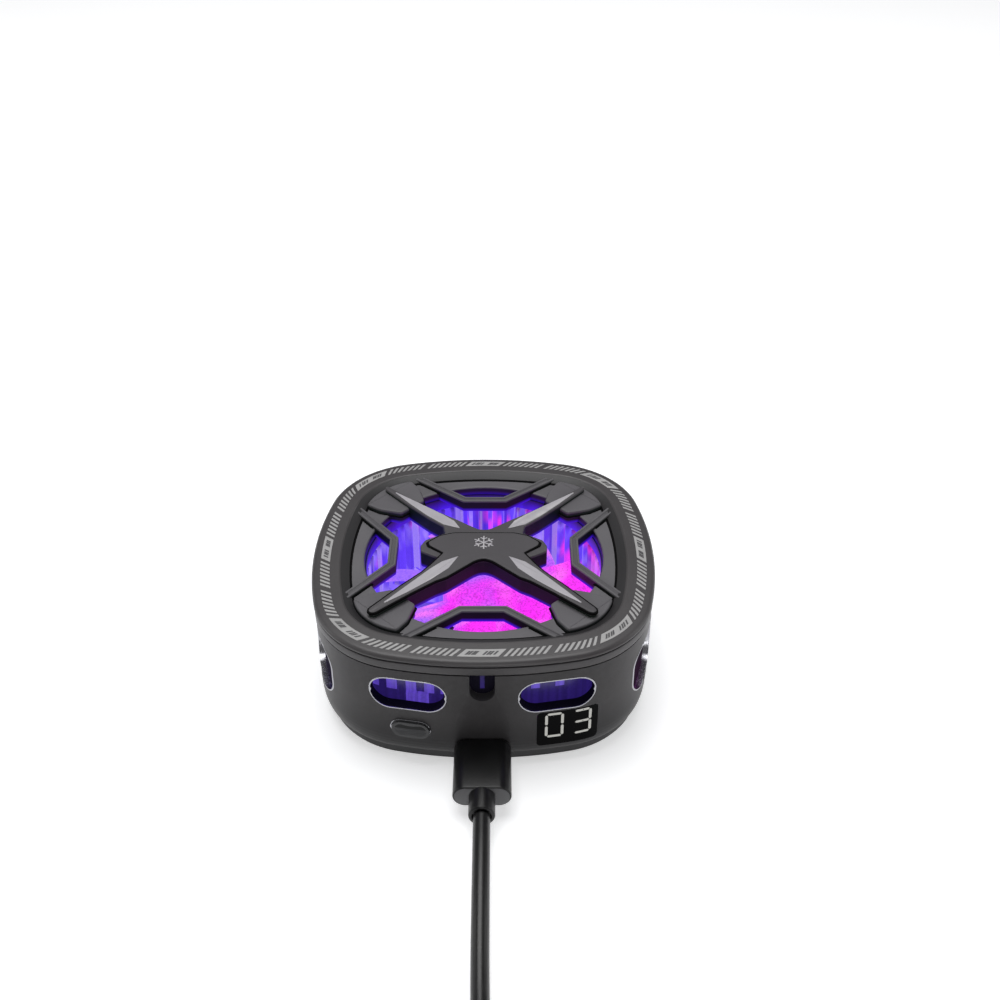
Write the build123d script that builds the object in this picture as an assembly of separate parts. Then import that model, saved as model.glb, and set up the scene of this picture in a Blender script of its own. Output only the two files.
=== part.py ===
from build123d import *
import math
import os

os.makedirs("parts", exist_ok=True)

# All sizes are in millimetres. The cooler stands on its cold face, the plane z = 0, with
# the plug's side towards -Y. Its body is a rounded square of four gentle side arcs and
# four corner arcs, and every shell follows that outline at its own inset.
case_half = 33.0
side_radius = 74.7
corner_radius = 18.9
body_inset = 0.25
housing_wall = 2.05
fit_gap = 0.1
overrun = 2.0

# Heights of the stacked shells, from the cold face up
pad_thickness = 0.6
base_step = 1.7
housing_height = 19.8
band_height = 2.15
groove_gap = 0.15
bezel_edge_height = 0.5
bezel_crown_height = 0.85
panel_thickness = 1.7
shelf_thickness = 0.6

# Insets of the top shells from the case outline
foot_inset = 1.5
foot_height = 4.5
foot_steps = 8
band_inset = 0.1
band_wall = 2.5
shelf_inset = 4.6
edge_round = 0.5
crest_inset = 5.2
panel_inset = 7.2

# Base frame with the magnet ring's groove, and the soft pad under it
base_inset = 1.9
pad_inset = 2.3
base_floor = 0.4
magnet_height = 1.6
shunt_thickness = 0.4
magnet_margin = 5.5
magnet_width = 4.2
magnet_count = 16
magnet_arc_share = 0.94
base_screw_radius = 0.9
base_screw_head_radius = 1.6
base_screw_head_height = 0.8
base_screw_length = 5.6
screw_slack = 0.05
post_radius = 2.8
post_height = 5.5
post_bite = 0.3

# Cold plate, thermoelectric stack and the foam around it
cold_plate_margin = 3.5
cold_plate_thickness = 1.6
ceramic_margin = 2.83
ceramic_thickness = 0.7
pellet_height = 1.3
pellet_rows = 8
pellet_border_share = 0.57
foam_gap = 0.4
lead_radius = 0.45
lead_spacing = 4.4
lead_lift = 0.62

# Heat sink: a disc with short fins under the fan and a ring of tall fins around it
sink_clearance = 2.3
sink_base = 2.0
tall_fin_count = 72
tall_fin_length = 5.6
tall_fin_height = 13.6
low_fin_count = 36
low_fin_margin = 3.3
low_fin_height = 3.4
fin_thickness = 0.7
board_bay_gap = 0.6
sink_screw_margin = 2.1
sink_screw_radius = 0.6
sink_screw_head_radius = 1.1
sink_screw_head_height = 0.6
sink_boss_radius = 1.35

# Fan motor and rotor
bracket_radius = 7.2
bracket_thickness = 1.0
bearing_tube_wall = 0.8
bearing_tube_height = 7.6
bearing_wall = 1.2
shaft_radius = 0.75
shaft_slack = 0.05
shaft_length = 9.6
bracket_screw_margin = 2.4
bracket_screw_count = 3
bracket_screw_radius = 0.5
bracket_screw_head_radius = 0.9
bracket_screw_head_height = 0.5
stator_gap = 0.4
stator_hub_wall = 0.7
stator_height = 2.6
stator_lift = 5.6
pole_count = 4
pole_width = 1.6
pole_tip_depth = 0.8
pole_tip_angle = 62.0
coil_thickness = 0.8
cup_radius = 8.2
cup_wall = 0.9
cup_height = 7.4
cup_cap = 1.2
cup_lift = 4.1
rotor_magnet_thickness = 0.8
rotor_magnet_height = 4.6
rotor_tip_clearance = 1.6
blade_count = 7
blade_chord = 13.0
blade_thickness = 0.9
blade_pitch = 28.0
blade_root_bite = 0.5

# Lighting above the fins
light_guide_wall = 1.2
light_guide_height = 2.5
light_guide_clearance = 0.3
led_board_thickness = 0.8
led_count = 12
led_side = 2.0
led_height = 0.8
led_inset_from_guide = 1.2

# Grille: a plate with a round well, four cranked struts and four corner plates
well_margin = 0.4
strut_width = 1.6
strut_proud = 0.8
plate_proud = 1.1
plate_chamfer = 0.3
strut_shares = [(0.0, 0.686), (0.159, 0.686), (0.545, 0.995)]
plate_shares = [(0.99, 0.705), (0.915, 0.589), (0.822, 0.527), (0.651, 0.481)]
plate_far_share = 1.02

# Cross cover over the well: rear arms and hub below, front arms and cap above
cross_margin = 5.3
cap_rise = 2.4
rear_drop = 0.4
cap_thickness = 0.7
cross_chamfer = 0.2
inlay_depth = 0.35
rear_hub_shares = [(0.0, 0.262), (0.045, 0.266), (0.095, 0.295), (0.29, 0.45), (0.40, 0.36),
                   (0.372, 0.20), (0.44, 0.165), (0.56, 0.09), (0.60, 0.0), (0.595, -0.08),
                   (0.47, -0.16), (0.30, -0.24), (0.0, -0.17)]
cap_shares = [(0.0, 0.18), (0.29, 0.18), (0.42, 0.135), (0.525, 0.035), (0.512, -0.015),
              (0.375, -0.13), (0.47, -0.29), (0.50, -0.36), (0.34, -0.50), (0.093, -0.262),
              (0.044, -0.232), (0.0, -0.222)]
front_arm_shares = [(0.15, 0.141), (0.54, 0.124), (0.70, 0.095), (0.97, 0.08), (1.38, 0.036),
                    (1.41, 0.018), (1.41, -0.02), (1.38, -0.04), (0.97, -0.06), (0.70, -0.085),
                    (0.54, -0.11), (0.15, -0.141)]
rear_arm_shares = [(0.30, 0.15), (0.48, 0.115), (0.70, 0.08), (1.0, 0.045), (1.38, 0.024),
                   (1.41, 0.012), (1.41, -0.014), (1.38, -0.028), (1.0, -0.052), (0.70, -0.062),
                   (0.48, -0.05), (0.30, -0.04)]
inlay_shares = [(0.30, 0.03), (0.47, 0.078), (0.62, 0.075), (1.0, 0.034), (1.24, 0.006),
                (1.24, -0.006), (1.0, -0.034), (0.72, -0.048), (0.49, -0.038)]
rear_inlay_shares = [(0.36, 0.034), (0.49, 0.078), (0.64, 0.075), (1.0, 0.036), (1.26, 0.006),
                     (1.26, -0.006), (1.0, -0.032), (0.74, -0.046), (0.52, -0.036)]

# Vents: a pair of slots in the front and rear walls, taller ones in the sides
vent_width = 14.2
vent_height = 7.3
vent_spacing = 12.5
vent_drop = 5.5
side_vent_height = 11.2
side_vent_spacing = 19.2
side_vent_drop = 8.3
side_vent_corner = 4.0
vent_trim_wall = 0.3
vent_trim_depth = 1.1
vent_trim_proud = 0.08
notch_width = 4.5
notch_depth = 5.9

# Controls in the front wall and the upright board behind it
board_setback = 6.75
board_thickness = 1.0
board_margin = 12.4
board_height = 9.7
stake_boss_radius = 1.5
stake_radius = 0.7
stake_spacing = 12.6
stake_drop = 2.4
stake_proud = 0.2
button_centre = -13.1
button_lift = 5.5
button_hole_width = 7.2
button_hole_height = 3.9
button_gap = 0.15
button_proud = 0.7
button_flange = 0.6
button_flange_depth = 0.8
button_travel = 0.5
switch_side = 4.2
switch_body = 1.1
plunger_radius = 1.0
display_centre = 15.4
display_lift = 5.5
display_width = 11.2
display_height = 8.2
display_corner = 0.8
window_thickness = 1.55
module_width = 9.6
module_height = 7.2
module_thickness = 1.0
chip_thickness = 0.9
chip_shares = [(0.0, 0.67, 0.19, 0.37), (-0.40, 0.27, 0.14, 0.2), (0.39, 0.27, 0.14, 0.2)]

# USB-C port and the lead's plug in it
port_lift = 1.9
port_wall = 0.25
port_setback = 0.85
port_hole_gap = 0.2
tongue_width = 6.5
tongue_thickness = 0.7
tongue_length = 4.6
plug_shell_width = 8.24
plug_shell_height = 2.4
plug_shell_wall = 0.3
plug_shell_length = 5.9
plug_gap = 0.3
plug_side_gap = 0.1
plug_face_gap = 0.13
overmold_width = 10.4
overmold_height = 4.6
overmold_length = 11.75
overmold_chamfer = 0.4
neck_radius = 2.35
neck_length = 4.5
neck_chamfer = 0.4

# The lead: a thin round cable, its coil and its USB-A plug
cable_radius = 1.5
cable_points = [(0.0, -49.3, 5.0), (0.0, -60.0, 5.0), (0.5, -78.0, 1.6), (1.0, -88.0, 1.6),
                (9.5, -102.0, 2.55), (10.0, -115.0, 2.55)]
coil_stub = 3.0
coil_first_radius = 23.1
coil_step = 1.72
coil_layer_pitch = 3.5
inward_half_turns = 7
outward_half_turns = 8
tail_steps = [(0.0, 0.0, 0.0), (0.0, -7.0, 0.0), (0.8, -19.0, -1.9), (0.8, -26.0, -1.9)]
tie_width = 5.0
tie_thickness = 0.7
tie_gap = 0.3
usb_a_neck_radius = 2.6
usb_a_neck_length = 7.0
usb_a_body_width = 15.4
usb_a_body_height = 8.2
usb_a_body_length = 20.0
usb_a_body_corner = 2.2
usb_a_shell_width = 12.0
usb_a_shell_height = 4.5
usb_a_shell_length = 12.0
usb_a_shell_wall = 0.3
usb_a_tongue_height = 1.9
usb_a_tongue_setback = 0.6
usb_a_contact_width = 1.0
usb_a_contact_pitch = 2.2
usb_a_contact_thickness = 0.15
usb_a_contact_count = 4

# Widths that follow from the outline, from the wall inwards
wall_inset = body_inset + housing_wall
inner_inset = wall_inset + fit_gap
wall_front = case_half - body_inset
panel_half = case_half - panel_inset
plug_face = -wall_front - plug_gap
magnet_outer_radius = case_half - magnet_margin
magnet_inner_radius = magnet_outer_radius - magnet_width
cold_plate_radius = magnet_inner_radius - cold_plate_margin
ceramic_side = (cold_plate_radius - ceramic_margin) * math.sqrt(2)
pellet_pitch = ceramic_side / (pellet_rows + pellet_border_share)
pellet_side = pellet_pitch / 2
sink_radius = case_half - wall_inset - sink_clearance
sink_screw_circle = cold_plate_radius + sink_screw_margin
tall_fin_inner_radius = sink_radius - tall_fin_length
rotor_radius = tall_fin_inner_radius - rotor_tip_clearance
well_radius = tall_fin_inner_radius + well_margin
guide_inner_radius = well_radius - light_guide_clearance
guide_outer_radius = guide_inner_radius + light_guide_wall
low_fin_inner_radius = bracket_radius + low_fin_margin
bearing_radius = shaft_radius + shaft_slack + bearing_wall
bearing_tube_radius = bearing_radius + bearing_tube_wall
bracket_screw_circle = bearing_tube_radius + bracket_screw_margin
stator_radius = cup_radius - cup_wall - rotor_magnet_thickness - stator_gap
stator_hub_radius = bearing_tube_radius + stator_hub_wall
cross_half = panel_half - cross_margin
vent_centre = (vent_width + vent_spacing) / 2
side_vent_centre = (vent_width + side_vent_spacing) / 2
board_front = wall_front - board_setback
board_half_width = case_half - board_margin
port_width = plug_shell_width + 2 * (plug_side_gap + port_wall)
port_height = plug_shell_height + 2 * (plug_face_gap + port_wall)

# Heights that follow from the stack
base_low = pad_thickness
housing_low = base_low + base_step
housing_high = housing_low + housing_height
band_high = housing_high + band_height
bezel_low = band_high + groove_gap
shoulder = bezel_low + bezel_edge_height
crest = shoulder + bezel_crown_height
panel_low = bezel_low - panel_thickness
magnet_low = base_low + base_floor
shunt_low = magnet_low + magnet_height
base_top = shunt_low + shunt_thickness
cold_ceramic_low = cold_plate_thickness
pellet_low = cold_ceramic_low + ceramic_thickness
hot_ceramic_low = pellet_low + pellet_height
sink_low = hot_ceramic_low + ceramic_thickness
sink_top = sink_low + sink_base
fin_top = sink_top + tall_fin_height
bracket_top = sink_top + bracket_thickness
stator_low = sink_top + stator_lift
cup_low = sink_top + cup_lift
cup_top = cup_low + cup_height
rotor_middle = cup_low + cup_height / 2
shaft_top = cup_top
cross_low = panel_low
cap_high = bezel_low + cap_rise
rear_high = cap_high - rear_drop
vent_middle = housing_high - vent_drop
side_vent_middle = housing_high - side_vent_drop
board_low = base_top + fit_gap
board_high = board_low + board_height
board_bay_height = board_high + board_bay_gap
stake_middle = board_high - stake_drop
button_middle = board_low + button_lift
display_middle = board_low + display_lift
port_middle = board_low + port_lift

# The outline's shared centres: each corner arc touches two side arcs
side_offset = side_radius - case_half
arc_distance = side_radius - corner_radius
corner_centre = (math.sqrt(2 * arc_distance ** 2 - side_offset ** 2) - side_offset) / 2
side_half_angle = math.degrees(math.atan2(corner_centre, corner_centre + side_offset))
diagonal_reach = corner_centre * math.sqrt(2) + corner_radius
quarter = 90
sides = range(4)

parts = {}


def keep(name, *solids):
    """Files one piece, or a group of separate identical pieces, under its node's name."""
    flat = [solid for shape in solids for solid in shape.solids()]
    parts[name] = flat[0] if len(flat) == 1 else Compound(children=flat)


def outline(inset):
    """The case's rounded square, set in evenly from its widest line."""
    arcs = []
    for side in sides:
        facing = side * quarter
        along = math.radians(facing)
        across = math.radians(facing + quarter / 2)
        side_place = (-side_offset * math.cos(along), -side_offset * math.sin(along))
        corner_away = corner_centre * math.sqrt(2)
        corner_place = (corner_away * math.cos(across), corner_away * math.sin(across))
        arcs.append(CenterArc(side_place, side_radius - inset, facing - side_half_angle,
                              2 * side_half_angle))
        arcs.append(CenterArc(corner_place, corner_radius - inset, facing + side_half_angle,
                              quarter - 2 * side_half_angle))
    return make_face(Curve() + arcs)


def slab(face, low, high):
    """A flat face on the floor plane, raised into a slab between two heights."""
    return extrude(Pos(0, 0, low) * face, amount=high - low, dir=(0, 0, 1))


def shell(inset, low, high):
    return slab(outline(inset), low, high)


def stepped(profile):
    """A solid whose outline narrows or widens through (inset, height) pairs."""
    return loft([Pos(0, 0, height) * outline(inset) for inset, height in profile], ruled=True)


def rod(radius, low, high, x=0, y=0):
    return slab(Pos(x, y) * Circle(radius), low, high)


def tube(outer, inner, low, high):
    return slab(Circle(outer) - Circle(inner), low, high)


def polar(distance, angle):
    turn = math.radians(angle)
    return distance * math.cos(turn), distance * math.sin(turn)


def scaled(shares, size):
    return [(x * size, y * size) for x, y in shares]


def mirrored(points):
    """Closes a half outline with its mirror image in the plane x = 0."""
    return points + [(-x, y) for x, y in reversed(points) if x]


def ribbon(points, width):
    """A flat strip of even width along an open line of points, mitred at its corners."""
    line = [Vector(*point) for point in points]
    one_side, other_side = [], []
    for i, point in enumerate(line):
        runs = [(line[j + 1] - line[j]).normalized() for j in (i - 1, i) if 0 <= j < len(line) - 1]
        normals = [Vector(-run.Y, run.X) for run in runs]
        mitre = (normals[0] + normals[-1]) * (1 / (1 + normals[0].dot(normals[-1])))
        one_side.append(point + mitre * (width / 2))
        other_side.append(point - mitre * (width / 2))
    return make_face(Polyline(*one_side, *reversed(other_side), close=True))


def through_front(face, middle, deep=overrun):
    """A sketch of the front wall, x across and y up, pushed through that wall."""
    start = case_half + overrun
    sheet = Plane((0, -start, middle), x_dir=(1, 0, 0), z_dir=(0, -1, 0)) * face
    return extrude(sheet, amount=start - panel_half + deep, dir=(0, 1, 0))


def capsule(width, height, grow=0):
    return SlotOverall(width + 2 * grow, height + 2 * grow)


def rounded(width, height, corner, grow=0):
    return RectangleRounded(width + 2 * grow, height + 2 * grow, corner + grow)


def wall_skin(outer_inset, inner_inset_here, low, high):
    return shell(outer_inset, low, high) - shell(inner_inset_here, low - overrun, high + overrun)


def vents(grow):
    """The prisms of the eight wall vents, each grown by the same margin."""
    prisms = []
    for turn in (0, 2 * quarter):
        for place in (-vent_centre, vent_centre):
            face = Pos(place, 0) * capsule(vent_width, vent_height, grow)
            prisms.append(Rot(0, 0, turn) * through_front(face, vent_middle))
    for turn in (quarter, -quarter):
        for place in (-side_vent_centre, side_vent_centre):
            face = Pos(place, 0) * rounded(vent_width, side_vent_height, side_vent_corner, grow)
            prisms.append(Rot(0, 0, turn) * through_front(face, side_vent_middle, overrun * 2))
    return prisms


def corner_angles():
    return [quarter / 2 + quarter * side for side in sides]


def make_base():
    """Soft pad, base frame, its magnets and their shunt ring, and the screws from below."""
    bore = cold_plate_radius + fit_gap
    keep("silicone_pad", shell(pad_inset, 0, pad_thickness) - rod(bore, -overrun, overrun))
    frame = shell(base_inset, base_low, housing_low) + shell(inner_inset, housing_low, base_top)
    frame -= rod(bore, -overrun, base_top + overrun)
    groove = fit_gap
    frame -= tube(magnet_outer_radius + groove, magnet_inner_radius - groove,
                  magnet_low, base_top + overrun)
    post_reach = diagonal_reach - wall_inset + post_bite - post_radius
    shaft_low = base_low + base_screw_head_height + fit_gap
    screws = []
    for angle in corner_angles():
        x, y = polar(post_reach, angle)
        head = rod(base_screw_head_radius, base_low + fit_gap, shaft_low, x, y)
        shank = rod(base_screw_radius, shaft_low, shaft_low + base_screw_length, x, y)
        screws.append(head + shank)
        frame -= rod(base_screw_head_radius + fit_gap, base_low - overrun, shaft_low, x, y)
        frame -= rod(base_screw_radius + screw_slack, base_low, base_top + overrun, x, y)
        x, y = polar(sink_screw_circle, angle)
        frame += rod(sink_boss_radius, base_low, sink_low, x, y)
        frame -= rod(sink_screw_radius + screw_slack, magnet_low, sink_low + overrun, x, y)
    keep("base_frame", frame)
    keep("base_screws", *screws)
    step = 360 / magnet_count
    magnets = []
    for i in range(magnet_count):
        wedge = make_face(Curve() + [
            CenterArc((0, 0), magnet_outer_radius, i * step, step * magnet_arc_share),
            CenterArc((0, 0), magnet_inner_radius, i * step, step * magnet_arc_share),
            Line(polar(magnet_inner_radius, i * step), polar(magnet_outer_radius, i * step)),
            Line(polar(magnet_inner_radius, (i + magnet_arc_share) * step),
                 polar(magnet_outer_radius, (i + magnet_arc_share) * step))])
        magnets.append(slab(wedge, magnet_low, shunt_low))
    keep("magnets", *magnets)
    keep("magnet_shunt", tube(magnet_outer_radius, magnet_inner_radius, shunt_low, base_top))
    return post_reach


def make_cooling_stack():
    """Cold plate, thermoelectric sandwich with its foam, and its two leads."""
    keep("cold_plate", rod(cold_plate_radius, 0, cold_plate_thickness))
    square = Rectangle(ceramic_side, ceramic_side)
    keep("peltier_cold_ceramic", slab(square, cold_ceramic_low, pellet_low))
    keep("peltier_hot_ceramic", slab(square, hot_ceramic_low, sink_low))
    grid = GridLocations(pellet_pitch, pellet_pitch, pellet_rows, pellet_rows)
    pellet = Rectangle(pellet_side, pellet_side)
    keep("peltier_pellets", *[slab(place * pellet, pellet_low, hot_ceramic_low) for place in grid])
    window = Rectangle(ceramic_side + 2 * foam_gap, ceramic_side + 2 * foam_gap)
    foam = slab(Circle(cold_plate_radius - fit_gap) - window, cold_ceramic_low, sink_low)
    lead_height = base_top + lead_lift
    leads = []
    for x in (-lead_spacing / 2, lead_spacing / 2):
        start = Plane((x, -ceramic_side / 2, lead_height), z_dir=(0, -1, 0))
        run = board_front - board_thickness - ceramic_side / 2
        leads.append(extrude(start * Circle(lead_radius), amount=run))
        channel = Rectangle(2 * (lead_radius + fit_gap), overrun + cold_plate_radius)
        channel = Pos(x, -(overrun + cold_plate_radius) / 2 - ceramic_side / 2) * channel
        foam -= slab(channel, lead_height - lead_radius - fit_gap, sink_low + overrun)
    keep("peltier_leads", *leads)
    keep("foam_gasket", foam)


def fins(count, inner, outer, low, high):
    """A ring of flat radial fins, with a gap between two fins facing the board."""
    blades = Sketch()
    length = outer - inner
    for i in range(count):
        angle = -quarter + (i + 0.5) * 360 / count
        x, y = polar(inner + length / 2, angle)
        blades += Pos(x, y) * Rot(0, 0, angle) * Rectangle(length, fin_thickness)
    return slab(blades, low, high)


def make_heat_sink():
    """One casting: disc, short fins under the fan, tall fins around it."""
    sink = rod(sink_radius, sink_low, sink_top)
    sink += fins(low_fin_count, low_fin_inner_radius, rotor_radius, sink_top,
                 sink_top + low_fin_height)
    sink += fins(tall_fin_count, tall_fin_inner_radius, sink_radius, sink_top, fin_top)
    bay = Rectangle(2 * (board_half_width + overrun), sink_radius)
    bay_edge = board_front - board_thickness - fit_gap * 4
    sink -= slab(Pos(0, -bay_edge - sink_radius / 2) * bay, sink_low - overrun, board_bay_height)
    screws = []
    for angle in corner_angles():
        x, y = polar(sink_screw_circle, angle)
        sink -= rod(sink_screw_head_radius + fit_gap, sink_top, fin_top + overrun, x, y)
        sink -= rod(sink_screw_radius + screw_slack, sink_low - overrun, sink_top + overrun, x, y)
        head = rod(sink_screw_head_radius, sink_top, sink_top + sink_screw_head_height, x, y)
        screws.append(head + rod(sink_screw_radius, magnet_low + fit_gap, sink_top, x, y))
    for i in range(bracket_screw_count):
        x, y = polar(bracket_screw_circle, i * 360 / bracket_screw_count)
        sink -= rod(bracket_screw_radius + screw_slack, sink_low + sink_base / 4,
                    sink_top + overrun, x, y)
    keep("heat_sink", sink)
    keep("heat_sink_screws", *screws)


def make_motor():
    """Bracket with its bearing tube, sleeve bearing, stator, windings and the fan's lead."""
    tube_top = bracket_top + bearing_tube_height
    bracket = rod(bracket_radius, sink_top, bracket_top)
    bracket += rod(bearing_tube_radius, bracket_top, tube_top)
    bracket -= rod(bearing_radius, bracket_top, tube_top + overrun)
    screws = []
    for i in range(bracket_screw_count):
        x, y = polar(bracket_screw_circle, i * 360 / bracket_screw_count)
        bracket -= rod(bracket_screw_radius + screw_slack, 0, bracket_top + overrun, x, y)
        head = rod(bracket_screw_head_radius, bracket_top,
                   bracket_top + bracket_screw_head_height, x, y)
        low = sink_low + sink_base / 4 + screw_slack
        screws.append(head + rod(bracket_screw_radius, low, bracket_top, x, y))
    keep("fan_bracket", bracket)
    keep("fan_bracket_screws", *screws)
    keep("fan_bearing", tube(bearing_radius, shaft_radius + shaft_slack, bracket_top, tube_top))

    core = Circle(stator_hub_radius)
    windings = []
    tip_inner = stator_radius - pole_tip_depth
    for i in range(pole_count):
        angle = i * 360 / pole_count
        arm = Pos(stator_radius / 2, 0) * Rectangle(stator_radius, pole_width)
        tip = Circle(stator_radius) - Circle(tip_inner)
        wedge = make_face(Polyline((0, 0), polar(2 * stator_radius, pole_tip_angle / 2),
                                   polar(2 * stator_radius, -pole_tip_angle / 2), close=True))
        pole = arm & Circle(tip_inner + pole_tip_depth / 2)
        core += Rot(0, 0, angle) * (pole + (tip & wedge))
        width = pole_width + 2 * coil_thickness
        near = stator_hub_radius + fit_gap
        far = math.sqrt(tip_inner ** 2 - width ** 2 / 4) - fit_gap
        length = far - near
        middle = Pos((far + near) / 2, 0, stator_low + stator_height / 2)
        block = Box(length, width, stator_height + 2 * coil_thickness)
        hollow = Box(length + overrun, pole_width, stator_height)
        windings.append(Rot(0, 0, angle) * middle * (block - hollow))
    core -= Circle(bearing_tube_radius)
    keep("stator_core", slab(core, stator_low, stator_low + stator_height))
    keep("stator_windings", *windings)
    lead_start = Plane((0, -bracket_radius, sink_top + bracket_thickness / 2), z_dir=(0, -1, 0))
    reach = board_front - board_thickness - bracket_radius
    keep("fan_lead", extrude(lead_start * Circle(lead_radius - screw_slack), amount=reach))


def make_rotor():
    """Cup with seven pitched blades, the magnet ring in the cup, and the shaft."""
    cup_cap_low = cup_top - cup_cap
    cup = rod(cup_radius, cup_low, cup_top)
    cup -= rod(cup_radius - cup_wall, cup_low - overrun, cup_cap_low)
    swept = tube(rotor_radius, cup_radius - blade_root_bite, cup_low, cup_top)
    reach = rotor_radius + overrun
    rotor = cup
    for i in range(blade_count):
        plate = Box(reach, blade_chord, blade_thickness)
        plate = Pos(reach / 2, 0, rotor_middle) * Rot(blade_pitch, 0, 0) * plate
        rotor += Rot(0, 0, i * 360 / blade_count) * plate & swept
    boss_low = bracket_top + bearing_tube_height + shaft_slack * 4
    rotor += rod(bearing_tube_radius, boss_low, cup_cap_low)
    rotor -= rod(shaft_radius, boss_low - overrun, cup_top + overrun)
    keep("fan_rotor", rotor)
    keep("fan_shaft", rod(shaft_radius, shaft_top - shaft_length, shaft_top))
    ring_outer = cup_radius - cup_wall
    keep("rotor_magnet", tube(ring_outer, ring_outer - rotor_magnet_thickness,
                              cup_cap_low - rotor_magnet_height, cup_cap_low))


def make_housing(post_reach):
    """The wall shell with its vents, notches, control openings and screw posts."""
    profile = []
    for i in range(foot_steps + 1):
        bend = math.radians(quarter - quarter * i / foot_steps)
        profile.append((body_inset + foot_inset * (1 - math.cos(bend)),
                        housing_low + foot_height * (1 - math.sin(bend))))
    profile.append((body_inset, housing_high))
    housing = stepped(profile) - shell(wall_inset, housing_low - overrun, housing_high + overrun)
    outer = shell(body_inset, housing_low, housing_high)
    for angle in corner_angles():
        x, y = polar(post_reach, angle)
        housing += rod(post_radius, base_top, base_top + post_height, x, y) & outer
        housing -= rod(base_screw_radius + screw_slack, base_top - overrun,
                       base_top + post_height - overrun / 2, x, y)
    for x in (-stake_spacing / 2, stake_spacing / 2):
        boss = through_front(Pos(x, 0) * Circle(stake_boss_radius), stake_middle)
        pin = through_front(Pos(x, 0) * Circle(stake_radius), stake_middle)
        depth = Pos(0, -board_front - case_half, stake_middle)
        housing += boss & depth * Box(case_half, 2 * case_half, case_half) & outer
        stake_end = board_front - board_thickness - stake_proud
        depth = Pos(0, -stake_end - case_half, stake_middle)
        housing += pin & depth * Box(case_half, 2 * case_half, case_half) & outer
    for prism in vents(0):
        housing -= prism
    notch_middle = housing_high - (notch_depth - notch_width / 2) / 2 + fit_gap
    notch = Rectangle(notch_width, notch_depth - notch_width / 2 + fit_gap)
    foot = Pos(0, -(notch_depth - notch_width / 2) / 2) * Circle(notch_width / 2)
    for turn in (0, 2 * quarter):
        housing -= Rot(0, 0, turn) * through_front(notch + foot, notch_middle)
    hole = Pos(button_centre, 0) * capsule(button_hole_width, button_hole_height)
    housing -= through_front(hole, button_middle)
    opening = Pos(display_centre, 0) * rounded(display_width, display_height, display_corner)
    housing -= through_front(opening, display_middle)
    port = capsule(port_width, port_height, port_hole_gap)
    housing -= through_front(port, port_middle)
    keep("housing", housing)

    trims = []
    skin = wall_skin(body_inset - vent_trim_proud, body_inset + vent_trim_depth,
                     housing_low, housing_high)
    for prism, hollow in zip(vents(0), vents(-vent_trim_wall)):
        trims.append((prism - hollow) & skin)
    keep("vent_trims", *trims)


def make_controls():
    """Mode button, display window and everything that stands on the control board."""
    face_inset = body_inset - button_proud
    flange_inset = wall_inset + fit_gap
    face = Pos(button_centre, 0) * capsule(button_hole_width, button_hole_height, -button_gap)
    flange = Pos(button_centre, 0) * capsule(button_hole_width, button_hole_height, button_flange)
    low, high = housing_low, housing_high
    key = through_front(face, button_middle)
    key &= wall_skin(face_inset, flange_inset + button_flange_depth, low, high)
    rim = through_front(flange, button_middle)
    rim &= wall_skin(flange_inset, flange_inset + button_flange_depth, low, high)
    keep("mode_button", key + rim)

    pane = Pos(display_centre, 0) * rounded(display_width, display_height, display_corner,
                                            -fit_gap / 2)
    pane = through_front(pane, display_middle)
    keep("display_window", pane & wall_skin(body_inset, body_inset + window_thickness, low, high))

    def on_board(face, middle, depth):
        sheet = Plane((0, -board_front, middle), x_dir=(1, 0, 0), z_dir=(0, -1, 0)) * face
        return extrude(sheet, amount=depth)

    board = Rectangle(2 * board_half_width, board_high - board_low)
    board = on_board(board, (board_high + board_low) / 2, -board_thickness)
    for x in (-stake_spacing / 2, stake_spacing / 2):
        board -= through_front(Pos(x, 0) * Circle(stake_radius + screw_slack), stake_middle)
    keep("control_board", board)
    module = Pos(display_centre, 0) * Rectangle(module_width, module_height)
    keep("display_module", on_board(module, display_middle, module_thickness))
    square = Pos(button_centre, 0) * Rectangle(switch_side, switch_side)
    switch = on_board(square, button_middle, switch_body)
    back_radius = side_radius - flange_inset - button_flange_depth
    back_reach = abs(button_centre) + plunger_radius
    button_back = math.sqrt(back_radius ** 2 - back_reach ** 2) - side_offset
    plunger_top = button_back - board_front - button_travel - fit_gap
    plunger = Pos(button_centre, 0) * Circle(plunger_radius)
    keep("tact_switch", switch + on_board(plunger, button_middle, plunger_top))
    chips = []
    tall = board_high - board_low
    for across, up, wide, high in chip_shares:
        chip = Rectangle(wide * board_half_width, high * tall)
        place = Pos(across * board_half_width, 0)
        chips.append(on_board(place * chip, board_low + up * tall, chip_thickness))
    keep("control_chips", *chips)


def make_port():
    """USB-C receptacle: an open metal shell and the contact tongue inside it."""
    mouth = wall_front - port_setback
    depth = mouth - board_front
    front = Plane((0, -mouth, port_middle), x_dir=(1, 0, 0), z_dir=(0, -1, 0))
    shell_face = capsule(port_width, port_height)
    hollow = capsule(port_width, port_height, -port_wall)
    case = extrude(front * shell_face, amount=-depth)
    keep("usb_c_receptacle", case - extrude(front * hollow, amount=-(depth - port_wall)))
    back = Plane((0, -board_front - port_wall, port_middle), x_dir=(1, 0, 0), z_dir=(0, -1, 0))
    tongue = Rectangle(tongue_width, tongue_thickness)
    keep("usb_c_tongue", extrude(back * tongue, amount=tongue_length))


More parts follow.
